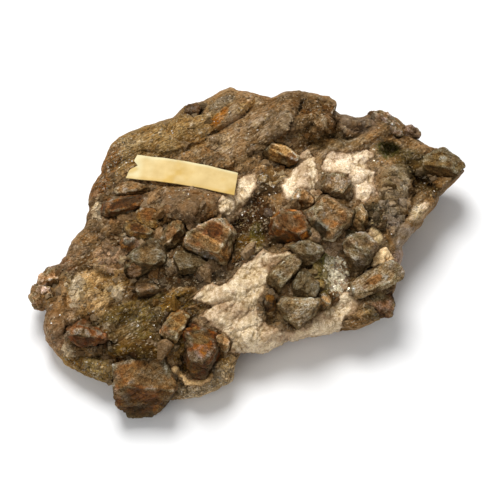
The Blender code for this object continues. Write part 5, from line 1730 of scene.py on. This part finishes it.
def lens_tint(name, skin, inside, relief, crevice):
    """Colour of a lens: cream, stained in patches and along its edge, dark in its cracks, with painted shade
    in its low spots and crevices.
    """
    fringe = NODULE_FRINGE if "nodule" in name else LENS_FRINGE
    stain = 0.55 * ramp(lumps(skin, 7 * MM, 85, 3), -0.1, 0.5)
    stain += FRINGE_STAIN * (1 - ramp(inside, 0.0, fringe))
    stain += 0.5 * ramp(lumps(skin, 1.8 * MM, 87, 2), 0.25, 0.6)
    tint = covered(plain(LENS_TINTS[name], len(skin)), QUARTZ_STAIN, np.clip(stain, 0, MOST_STAINED))
    # Painted light and shade: high spots of the relief lighter, low spots darker, crevices beside the
    # crystals darker.
    brightness = 1 + 0.45 * np.clip(relief, -1.2, 0.4) + 0.16 * lumps(skin, 2 * MM, 86, 2)
    brightness -= CRACK_SHADE * (1 - ramp(np.abs(lumps(skin, 9 * MM, 88, 4)), 0.0, 0.035))
    return shaded(tint, np.clip(brightness, 0.3, 1.2) * (1 - 0.45 * crevice))


print("finest facets of the quartz:", SUGAR_LAYERS[-1][0], "mm")

# %% Build the lenses
LENS_SPACING = 0.9            # grid steps between the points of a patch
LENS_DEPTH = 6 * MM
CORE_DEPTH = 40 * MM          # the point that a lens narrows towards lies this deep
NODULE_RISE = 1.6 * MM        # two nodules stand higher out of the rock than the lenses
SUNK_DEPTH = 4.5 * MM         # how far a patch is pulled in outside its outline


def make_lens(name, outline):
    """Hand in one lens: the rock's skin around its outline, pushed out inside it and in outside it."""
    corners = np.array(outline, float)
    low = corners.min(0) - LENS_MARGIN
    high = corners.max(0) + LENS_MARGIN
    columns = np.arange(low[0], high[0], LENS_SPACING)
    rows = np.arange(low[1], high[1], LENS_SPACING)
    column, row = (part.ravel() for part in np.meshgrid(columns, rows, indexing="ij"))
    index = np.arange(column.size).reshape(len(columns), len(rows))
    skin = lens_skin(column, row)
    normals = facing(skin, grid_quads(index)[:, ::-1])
    core = skin.mean(0) - normals.mean(0) * CORE_DEPTH
    inward = core - skin
    inward /= np.linalg.norm(inward, axis=1)[:, None]
    inside = frayed_inside(skin, column, row, outline)
    inside = np.minimum(inside, inside_outline(column, row, outline) + 3)
    relief = lens_relief(skin)
    beside, crevice = crystal_contact(skin)
    height = NODULE_RISE if "nodule" in name else QUARTZ_RISE
    rise = height * np.tanh(np.maximum(inside, 0) / 3) + relief * MM * 0.8 + beside
    rise = keep_under_label(rise, column, row)
    sunk = SUNK_DEPTH * np.tanh(np.maximum(-inside, 0) / 5)
    top = skin + normals * rise[:, None] + inward * sunk[:, None]
    points, squares = closed_sheet(top, skin + inward * LENS_DEPTH, index)
    points[:, 2] = np.maximum(points[:, 2], 0)
    tint = lens_tint(name, skin, inside, relief, crevice)
    values = {"tint": np.concatenate([tint, tint])}
    hand_in(make_piece(f"granular_{name}", points, squares, QUARTZ_STONE, values), "quartz", name)


for lens_name, lens_outline in QUARTZ.items():
    make_lens(lens_name, lens_outline)

# %% [markdown]
# ## Stains, and painted light and shade, on the crystals
# Iron has run out of the schist and over the crystals, but not evenly: one face is rust red, the next
# is still grey. These patches are given as ovals of the grid, and noise frays their edges.
# A few of the patches are painted light and shade: a lit face, a face in shade.

# %% Stains and painted light of the crystals
# Rust, dirt, grey films and a few patches of painted light and shade on the crystals: colour, column, row,
# half length, half width, turn, strength
STAINS_AND_PAINTED_LIGHT = [
    ("#3c200b", 127, 202, 19, 4.5, 19, 0.95),     # rust on the long prism at the left
    ("#613c19", 148, 213, 9, 8, 0, 0.85),
    ("#553315", 138, 229, 9, 5.5, -22, 0.95),     # rust inside a grey rim
    ("#2f1807", 129.5, 243, 6.5, 4, -10, 0.95),
    ("#986e4b", 171, 233, 6, 6, 0, 0.8),
    ("#dcc8bd", 173, 243, 8, 5, 50, 0.6),
    ("#7a4820", 214, 229, 10, 7, -25, 0.95),      # dark pocket of the wedge
    ("#bf9873", 211, 244, 24, 5.5, -30, 0.9),     # orange band across it
    ("#6b3f23", 212, 236, 20, 1.8, -27, 0.7),     # pale ridge between them
    ("#7e7779", 204, 254, 20, 4, -30, 0.75),
    # painted highlight on the lit front-left face of the block at the left
    ("#e3beb2", 135, 271, 7, 7, -50, 0.85),
    ("#a38263", 336, 207, 14, 4.5, -38, 0.8),     # rust bands on the cube
    ("#673f1b", 343, 221, 4, 12, -15, 0.7),
    ("#966f4a", 321, 203, 5, 6, -30, 0.8),
    ("#181207", 318, 231, 11, 9, 50, 0.85),       # painted shade on its lower left side
    ("#7c5a3e", 290, 221, 13, 9, 20, 0.9),
    ("#a66d3b", 298, 216, 5, 4, 0, 0.7),
    ("#4b3218", 279, 241, 10, 6, 20, 0.9),
    ("#937a65", 329, 185, 4, 9, 10, 0.8),
    ("#9f8162", 371, 246, 4, 3, 0, 0.9),
    ("#4b413a", 362, 264, 12, 5, 20, 0.7),
    # painted highlight on the left facets of the faceted crystal
    ("#ece2d9", 354, 252, 5, 9, 20, 0.5),
    ("#875e38", 374, 280, 9.5, 4, 28, 0.95),      # rust rectangle on the prism at the right
    ("#a67848", 325, 301, 6, 6, 0, 0.8),
    ("#532f12", 292, 158, 7, 5, -35, 0.85),
    ("#6c3f1b", 143, 393, 16, 8, -10, 0.9),       # great block: dark rust, orange shoulder, corners
    ("#6a4523", 122, 374, 8, 10, 10, 0.85),
    ("#a87739", 158, 410, 6, 6, 0, 0.9),
    ("#844e23", 117, 397, 4, 13, 5, 0.8),
    ("#59442d", 152, 374, 21, 13, 15, 0.8),
    ("#584021", 200, 337, 12, 8, 0, 0.85),        # upright crystal: rust top, grey front
    ("#693d1a", 212, 356, 5, 14, -10, 0.85),
    ("#7a5829", 195, 366, 8, 9, 0, 0.8),
    ("#835b2f", 181, 316, 10, 5.5, 20, 0.85),
    ("#8b5325", 165, 333, 5, 9, 0, 0.8),
    ("#6a3d1a", 85, 332, 20, 10, -10, 0.8),       # lump at the lower left: grey core in a rust ring
    ("#8b7560", 82, 333, 9, 4.5, -10, 0.8),
    ("#a6816b", 45, 284, 10, 7, 0, 0.4),
    ("#a79d91", 443, 158, 5, 4, 0, 0.6),
]
# grey of the edges: worn, and lighter as a painted highlight
WORN_AND_LIT_EDGE = "#9c9484"
COOL_FILM = "#877f76"
DIRT = "#3a2008"
STAINED = np.array((1.0, 0.96, 0.72))         # iron takes blue out of the crystals too


def stain_and_light_crystal(tint, points):
    """A crystal's tint with the stains and the painted light and shade that lie at its spots of the grid,
    their edges frayed.
    """
    column, row = grid_spot(points)
    column = column + 2.2 * lumps(points, 2.2 * MM, 101, 3)
    row = row + 2.2 * lumps(points, 2.2 * MM, 104, 3)
    for colour, *oval, strength in STAINS_AND_PAINTED_LIGHT:
        share = ramp(mound(column, row, *oval), 0.25, 0.6) * strength
        tint = covered(tint, colour, share)
    return tint


print("stains:", len(STAINS_AND_PAINTED_LIGHT))

# %% [markdown]
# ## The crystals
# A crystal's skin starts as the six sides of its box, a grid on each, joined at their edges. Each grid
# point is carried along its own direction to the softened planes. Then facets and growth steps break
# up the faces, and pits are sunk where grains have fallen out. The same planes say where an edge is
# near, because edges are worn to grey and painted lighter there as a highlight, while the rust stays in the
# middle of the faces. Low spots and faces that look sideways are painted darker as shade.

# %% Looks of the crystals
# The colour of each crystal, the colour of its stain, and how much of it the stain takes
LOOKS = {
    "large_cube": ("#82674e", "#9a6636", 0.55), "great_block": ("#6d4b28", "#7c4e23", 0.5),
    "wedge_centre": ("#a28269", "#b26f44", 0.6), "block_left": ("#6b553c", "#6e4323", 0.25),
    "upright": ("#6b3704", "#815929", 0.5), "prism_lower_right": ("#9a8470", "#7b5035", 0.2),
    "prism_centre": ("#856e54", "#6d5037", 0.1), "wedge_lower": ("#957e65", "#755939", 0.1),
    "tip_right": ("#715734", "#5b3416", 0.2), "rust_right": ("#7f4a14", "#bc753a", 0.65),
    "faceted_right": ("#88715d", "#6f492e", 0.15), "block_upper": ("#917861", "#b07b49", 0.4),
    "grey_wedge": ("#715f4c", "#5b4232", 0.1), "stepped": ("#604f39", "#503824", 0.15),
    "round_right": ("#a98d71", "#8c674a", 0.3), "small_upper": ("#9f7956", "#bb7344", 0.3),
    "elongated_top": ("#a37c4f", "#a6632f", 0.35), "ledge_back": ("#886953", "#6b452f", 0.15),
    "knob_back": ("#947f80", "#a3847c", 0.3), "plate_centre": ("#76634e", "#5d4835", 0.15),
    "narrow": ("#7e6245", "#945a33", 0.45), "pair_left": ("#825c2b", "#955d37", 0.6),
    "small_left": ("#714317", "#824d23", 0.55), "prism_left": ("#6f400f", "#835024", 0.6),
    "under_label": ("#836242", "#7b5131", 0.2), "rusty_pair": ("#8d683d", "#af6a3b", 0.5),
    "brown_lump": ("#b69173", "#b6855f", 0.4), "lump_lower_left": ("#753d08", "#855024", 0.55),
    "nub_left": ("#c09d8a", "#bc8d81", 0.3), "dark_small": ("#5c3803", "#614820", 0.2),
    "olive_rim": ("#8a6755", "#895f4e", 0.2), "small_below_block": ("#705338", "#6d4322", 0.4),
    "bump_top": ("#583a22", "#4e2c17", 0.3),
}
print("looks:", len(LOOKS))

# %% Chips and axes of a crystal
SHARPNESS = 120               # power of the softened planes: high, so the edges are sharp
CHIPPED_CORNERS = 3
STREAK_STRETCH = 0.3          # a streak is this much narrower than it is long


def chip(solid, offsets, seed):
    """The crystal with some corners knocked off: planes set a little inside its farthest points."""
    dice = np.random.RandomState(seed + 9)
    reach, _ = crystal_reach(solid, offsets, SHARPNESS)
    skin = offsets / reach[:, None]
    normals = dice.normal(size=(CHIPPED_CORNERS, 3)) + (0, 0, 0.6)
    normals /= np.linalg.norm(normals, axis=1)[:, None]
    depths = (0.4 + 0.8 * dice.rand(CHIPPED_CORNERS)) * MM
    distances = (skin @ normals.T).max(axis=0) - depths
    return solid._replace(normals=np.concatenate([solid.normals, normals]),
                          distances=np.concatenate([solid.distances, distances]))


def own_axes(solid):
    """Three axes for the streaks of a crystal, the first drawn out along the crystal.

    It is the direction in which the sides of the outline spread farthest."""
    sides = solid.normals[:, :2] * solid.distances[:, None]
    _, _, ways = np.linalg.svd(sides - sides.mean(0))
    along = SIGHT_AXES[:, :2] @ ways[0]
    aside = SIGHT_AXES[:, :2] @ ways[1]
    return np.stack([along * STREAK_STRETCH, aside, SIGHT_AXES[:, 2]])


print("chipped corners of each:", CHIPPED_CORNERS)

# %% Relief and tint of a crystal
CRYSTAL_LAYERS = ((3.4, 0.45), (1.3, 0.5))
TERRACE = 0.9                 # height of the growth steps in mm
PIT_DEPTH = 0.35              # mm
CLEFT_DEPTH = 0.4             # mm
RUST_SHARE = 0.85
FILM_SHARE = 0.45
WORN_AND_LIT_SHARE = 0.6
DIRT_SHARE = 0.5
FACE_TONES = (0.62, 0.66)     # the darkest face, and how much lighter the lightest one is


def crystal_relief(points, own, broken, seed):
    """Relief of a crystal's faces in mm: growth steps along it, facets, pits and clefts."""
    steps = 3 * lumps(own * 1.6, 5 * MM, seed + 1, 2)
    stepped = (np.floor(steps) + ramp(steps - np.floor(steps), 0.85, 1.0)) / 3
    cell, _, number = grains(points, 1.5 * MM, seed + 2)
    pits = ramp(0.42 - cell, 0.0, 0.25) * (number > 0.7)
    clefts = 1 - ramp(np.abs(lumps(own * 1.8, 5 * MM, seed + 11, 3)), 0.0, 0.06)
    relief = TERRACE * broken * stepped + facet_layers(points, CRYSTAL_LAYERS, seed + 3)
    return relief - PIT_DEPTH * pits - CLEFT_DEPTH * clefts


def crystal_tint(points, normals, relief, pushes, look, seed):
    """Colour of a crystal's points: rust and films on the faces, worn grey edges with a painted highlight,
    dirt, dark feet, and painted shade on low spots and sideways faces.
    """
    main, stain, share = look
    dice = np.random.RandomState(seed)
    face = np.argmax(pushes, axis=1)
    face_tone = FACE_TONES[0] + FACE_TONES[1] * dice.rand(pushes.shape[1])
    face_rust = dice.rand(pushes.shape[1]) * 0.7 - 0.35
    ordered = np.sort(pushes, axis=1)
    edge = ordered[:, -2] / ordered[:, -1]
    middle_of_face = 1 - ramp(edge, 0.74, 0.93)
    patch = lumps(points, 4.5 * MM, seed + 5, 3)
    rust = ramp(0.9 * patch + 0.5 * middle_of_face + 1.2 * share - 1.35 + face_rust[face], 0.0, 0.25)
    tint = covered(plain(main, len(points)), stain, RUST_SHARE * rust)
    film = ramp(lumps(points, 2.8 * MM, seed + 8, 3), 0.0, 0.45)
    pale = np.clip(1.5 * linear(main).mean() / linear(COOL_FILM).mean(), 0.25, 1.1)
    tint = covered(tint, linear(COOL_FILM) * pale, FILM_SHARE * film)
    tint = stain_and_light_crystal(tint, points)
    hue = (0.4 + share) * np.clip(1.3 * lumps(points, 2.2 * MM, 107, 4), -0.4, 0.6)
    tint *= np.exp(hue[:, None] * RUSTING - 0.35 * np.clip(hue, 0, None)[:, None])
    # Edges: worn to grey, and lighter there as a painted highlight.
    worn_and_lit = ramp(edge, 0.86, 0.97) * ramp(lumps(points, 3 * MM, seed + 6, 2), -0.3, 0.25)
    tint = covered(tint, linear(WORN_AND_LIT_EDGE) * pale, WORN_AND_LIT_SHARE * worn_and_lit)
    tint = covered(tint, DIRT, DIRT_SHARE * ramp(lumps(points, 3.5 * MM, seed + 7, 4), 0.05, 0.4))
    out_of_ground = points[:, 2] - surface_height(*grid_spot(points))
    # Painted light and shade: low spots of the relief darker and high ones lighter, faces that look sideways
    # darker than those that look up. The crystal is also darker near the ground.
    brightness = face_tone[face] * (1 + 0.9 * np.clip(relief, -0.8, 0.5))
    brightness *= 0.45 + 0.55 * ramp(out_of_ground, -1.0 * MM, 2.5 * MM)
    brightness *= 0.62 + 0.48 * ramp(normals[:, 2], 0.0, 0.8)
    return shaded(tint * STAINED, brightness)


print("share of rust at most:", RUST_SHARE)

# %% Build the crystals
CRYSTAL_SPACING = 0.34 * MM   # distance between the grid points
BEND = 0.04                   # how much a crystal's faces bow
BROKEN_LITTLE = 0.4           # share of the growth steps on a crystal that is worn smooth
WORN_SMOOTH = {"prism_lower_right", "prism_centre", "tip_right", "wedge_lower", "large_cube", "prism_left"}


def crystal_skin(solid, look, broken, seed):
    """Points, squares, tints and own coordinates of one crystal; broken scales its terraces."""
    lattice, quads = box_grid(np.maximum((2 * solid.half / CRYSTAL_SPACING).astype(int), 8))
    offsets = lattice * solid.half
    bend = lumps(offsets + solid.middle, solid.half.max() * 0.9, seed, 2)
    bent = offsets * (1 + BEND * bend)[:, None]
    solid = chip(solid, bent, seed)
    reach, pushes = crystal_reach(solid, bent, SHARPNESS)
    smooth = solid.middle + offsets / reach[:, None] @ SIGHT_AXES.T
    normals = facing(smooth, quads)
    own = (smooth - solid.middle) @ own_axes(solid).T
    relief = crystal_relief(smooth, own, broken, seed)
    points = smooth + normals * (relief * MM)[:, None]
    return points, quads, crystal_tint(points, normals, relief, pushes, look, seed), own


def make_crystal(name, solids, seed):
    """Hand in one crystal, or a group that has grown together, as one piece."""
    broken = BROKEN_LITTLE if name in WORN_SMOOTH else 1.0
    skins = []
    start = 0
    for number, solid in enumerate(solids):
        points, quads, tint, own = crystal_skin(solid, LOOKS[name], broken, seed + 50 * number)
        skins.append((points, quads + start, tint, own))
        start += len(points)
    points, quads, tint, own = (np.concatenate(arrays) for arrays in zip(*skins))
    piece = make_piece(f"staurolite_{name}", points, quads, STAUROLITE, {"tint": tint, "own": own})
    hand_in(piece, "staurolite", f"crystal_{name}")


for crystal_number, (crystal_name, crystal_solids) in enumerate(SOLIDS.items()):
    make_crystal(crystal_name, crystal_solids, 200 + 100 * crystal_number)

# %% [markdown]
# ## The paper label
# A strip of paper, cut by hand, was glued on long ago. It has turned yellow, its left end is torn in a
# notch, and that end has lifted. Paper bends only one way, so the sheet is a plane with one bend along
# its length, laid over the rock's highest spots. A second layer and a narrow wall give it its
# thickness. Its finish comes first.

# %% Paper material
PAPER_CLOUD = 4 * MM
FIBRE = 0.5 * MM


def paper_material():
    """Old rag paper: matt, cloudy yellow, with fibres and brown specks."""
    material, tree, shader, place = new_material("rag_paper_aged")
    shade = carried(tree, grey_noise(tree, place, PAPER_CLOUD, 4.0, 0.5), 0.3, 0.7, 0.9, 1.08)
    toned = shaded_by(tree, mesh_value(tree, "tint"), shade)
    fibres = grey_noise(tree, place, FIBRE, 3.0, 0.5, 1.5)
    connect(tree, shader, {
        "Base Color": laid_over(tree, toned, "#a98445", carried(tree, fibres, 0.62, 0.75, 0.0, 0.35)),
        "Roughness": 0.85, "Specular IOR Level": 0.25,
        "Normal": relief_normal(tree, (fibres, 0.35, 0.12 * MM))})
    return material


PAPER = paper_material()
print("material:", PAPER.name)

# %% The label's sheet
LABEL_THICKNESS = 0.35 * MM
LABEL_RISE = 0.85 * MM
LABEL_CURL = 1.5 * MM
NOTCH_DEPTH = 5.5             # grid steps
NOTCH_PLACE = 0.46            # share of the way down the torn end
NOTCH_HALF = 0.2
PAPER_POINTS = (150, 36)


def label_sheet():
    """The label's lower face: spots between its corners, laid on a bent plane over the rock.

    Along it runs u and down it v, both from 0 to 1. The left end is torn inwards at the notch."""
    line_u = np.linspace(0, 1, PAPER_POINTS[0])
    line_v = np.linspace(0, 1, PAPER_POINTS[1])
    u, v = (part.ravel() for part in np.meshgrid(line_u, line_v, indexing="ij"))
    torn = NOTCH_DEPTH * np.maximum(0, 1 - np.abs(v - NOTCH_PLACE) / NOTCH_HALF)
    torn += 0.8 * waves(v * 20, v * 0, 9, 91)
    cut = 0.25 * waves(u * 100, v * 0, 30, 92)
    top_left, top_right, bottom_right, bottom_left = (np.array(spot) for spot in LABEL_CORNERS)
    top = top_left + (top_right - top_left) * u[:, None]
    bottom = bottom_left + (bottom_right - bottom_left) * u[:, None]
    spots = top + (bottom - top) * v[:, None]
    spots[:, 0] += torn * (1 - u) ** 12
    spots[:, 1] += cut - 2.5 * np.sin(u * math.pi)
    ground = surface_height(spots[:, 0], spots[:, 1])
    sheet = np.stack([np.ones(len(u)), u, u ** 2, v], axis=1)
    level = sheet @ np.linalg.lstsq(sheet, ground, rcond=None)[0]
    level += (ground - level).max() + LABEL_RISE
    level += LABEL_CURL * (1 - u) ** 4 + 0.25 * MM * lumps(np.stack([u * 9, v * 2, u * 0], -1), 1.0, 93)
    return seen_at(spots[:, 0], spots[:, 1], level), u, v


print("points of the sheet:", len(label_sheet()[0]))

# %% Build the label
PAPER_TINT = "#cdb37b"
CREAM = "#d6cba0"             # the torn end and the upper edge
GOLDEN = "#c09a45"            # the lower edge, and clouds of age


def make_label():
    """Hand in the label: its two faces and their rim, yellowed unevenly."""
    under, u, v = label_sheet()
    index = np.arange(u.size).reshape(PAPER_POINTS)
    normals = facing(under, grid_quads(index)[:, ::-1])
    points, squares = closed_sheet(under + normals * LABEL_THICKNESS, under, index)
    cream = ramp(0.25 - u + 0.15 * lumps(under, 6 * MM, 94, 2), 0, 0.25) + ramp(0.14 - v, 0, 0.14)
    tint = covered(plain(PAPER_TINT, len(u)), CREAM, np.clip(cream, 0, 0.8))
    golden = 0.4 * ramp(v, 0.8, 1.0) + 0.6 * ramp(lumps(under, 7 * MM, 96, 3), 0.0, 0.5)
    tint = covered(tint, GOLDEN, np.clip(golden, 0, 0.7))
    piece = make_piece("label_paper", points, squares, PAPER, {"tint": np.concatenate([tint, tint])})
    hand_in(piece, "paper", "paper_label")


make_label()

# %% [markdown]
# ## Light, floor and camera
# The specimen lies on a pale floor under soft studio light: a large lamp above and a little behind it
# draws the ledges and crystals with soft shadows. A weaker lamp in front and the pale surroundings fill
# them. The camera looks along the line of sight of the picture grid.

# %% Light
# Place and size in metres, power in watts
LAMPS = {"key": ((-0.12, 0.36, 0.85), 0.5, 9), "fill": ((-0.5, -0.7, 0.6), 0.8, 3)}


def lamp(name, place, size, power):
    """A round lamp of a size in metres and a power in watts, aimed at the specimen."""
    light = bpy.data.lights.new(name, "AREA")
    light.shape = "DISK"
    light.size = size
    light.energy = power
    item = bpy.data.objects.new(name, light)
    item.location = place
    item.rotation_euler = (Vector(MIDDLE) - item.location).to_track_quat("-Z", "Y").to_euler()
    bpy.context.scene.collection.objects.link(item)


for lamp_name, lamp_settings in LAMPS.items():
    lamp(lamp_name, *lamp_settings)

print("lamps:", list(LAMPS))

# %% Pale surroundings and the floor
SURROUNDINGS = 0.35           # strength of the pale world
FLOOR_HALF = 3.0              # metres
WHITE_BOARD = (0.9, 0.9, 0.9, 1)

world = bpy.data.worlds.new("studio")
bpy.context.scene.world = world
world.use_nodes = True
world.node_tree.nodes["Background"].inputs["Color"].default_value = (1, 1, 1, 1)
world.node_tree.nodes["Background"].inputs["Strength"].default_value = SURROUNDINGS
bpy.context.scene.view_settings.view_transform = "Standard"

floor_mesh = bpy.data.meshes.new("floor")
floor_corners = [(x * FLOOR_HALF, y * FLOOR_HALF, 0) for x, y in ((-1, -1), (1, -1), (1, 1), (-1, 1))]
floor_mesh.from_pydata(floor_corners, [], [(0, 1, 2, 3)])
floor = bpy.data.objects.new("floor", floor_mesh)
bpy.context.scene.collection.objects.link(floor)
floor_paint = bpy.data.materials.new("matt_white_board")
floor_paint.use_nodes = True
floor_shader = floor_paint.node_tree.nodes["Principled BSDF"]
floor_shader.inputs["Base Color"].default_value = WHITE_BOARD
floor_shader.inputs["Roughness"].default_value = 0.9
floor_mesh.materials.append(floor_paint)
print("floor:", 2 * FLOOR_HALF, "metres wide")

# %% Camera
IMAGE_COLUMNS = 498
SENSOR = 36                   # mm
camera_data = bpy.data.cameras.new("camera")
camera_data.sensor_fit = "HORIZONTAL"
camera_data.sensor_width = SENSOR
camera_data.lens = SENSOR * EYE_DISTANCE / (IMAGE_COLUMNS * STEP)
camera = bpy.data.objects.new("camera", camera_data)
bpy.context.scene.collection.objects.link(camera)
towards_eye = Vector(SIGHT_AXES[:, 2])
camera.matrix_world = (Matrix.Translation(Vector(MIDDLE) + towards_eye * EYE_DISTANCE)
                       @ Matrix(SIGHT_AXES.tolist()).to_4x4())
bpy.context.scene.camera = camera
print("lens:", round(camera_data.lens, 1), "mm")
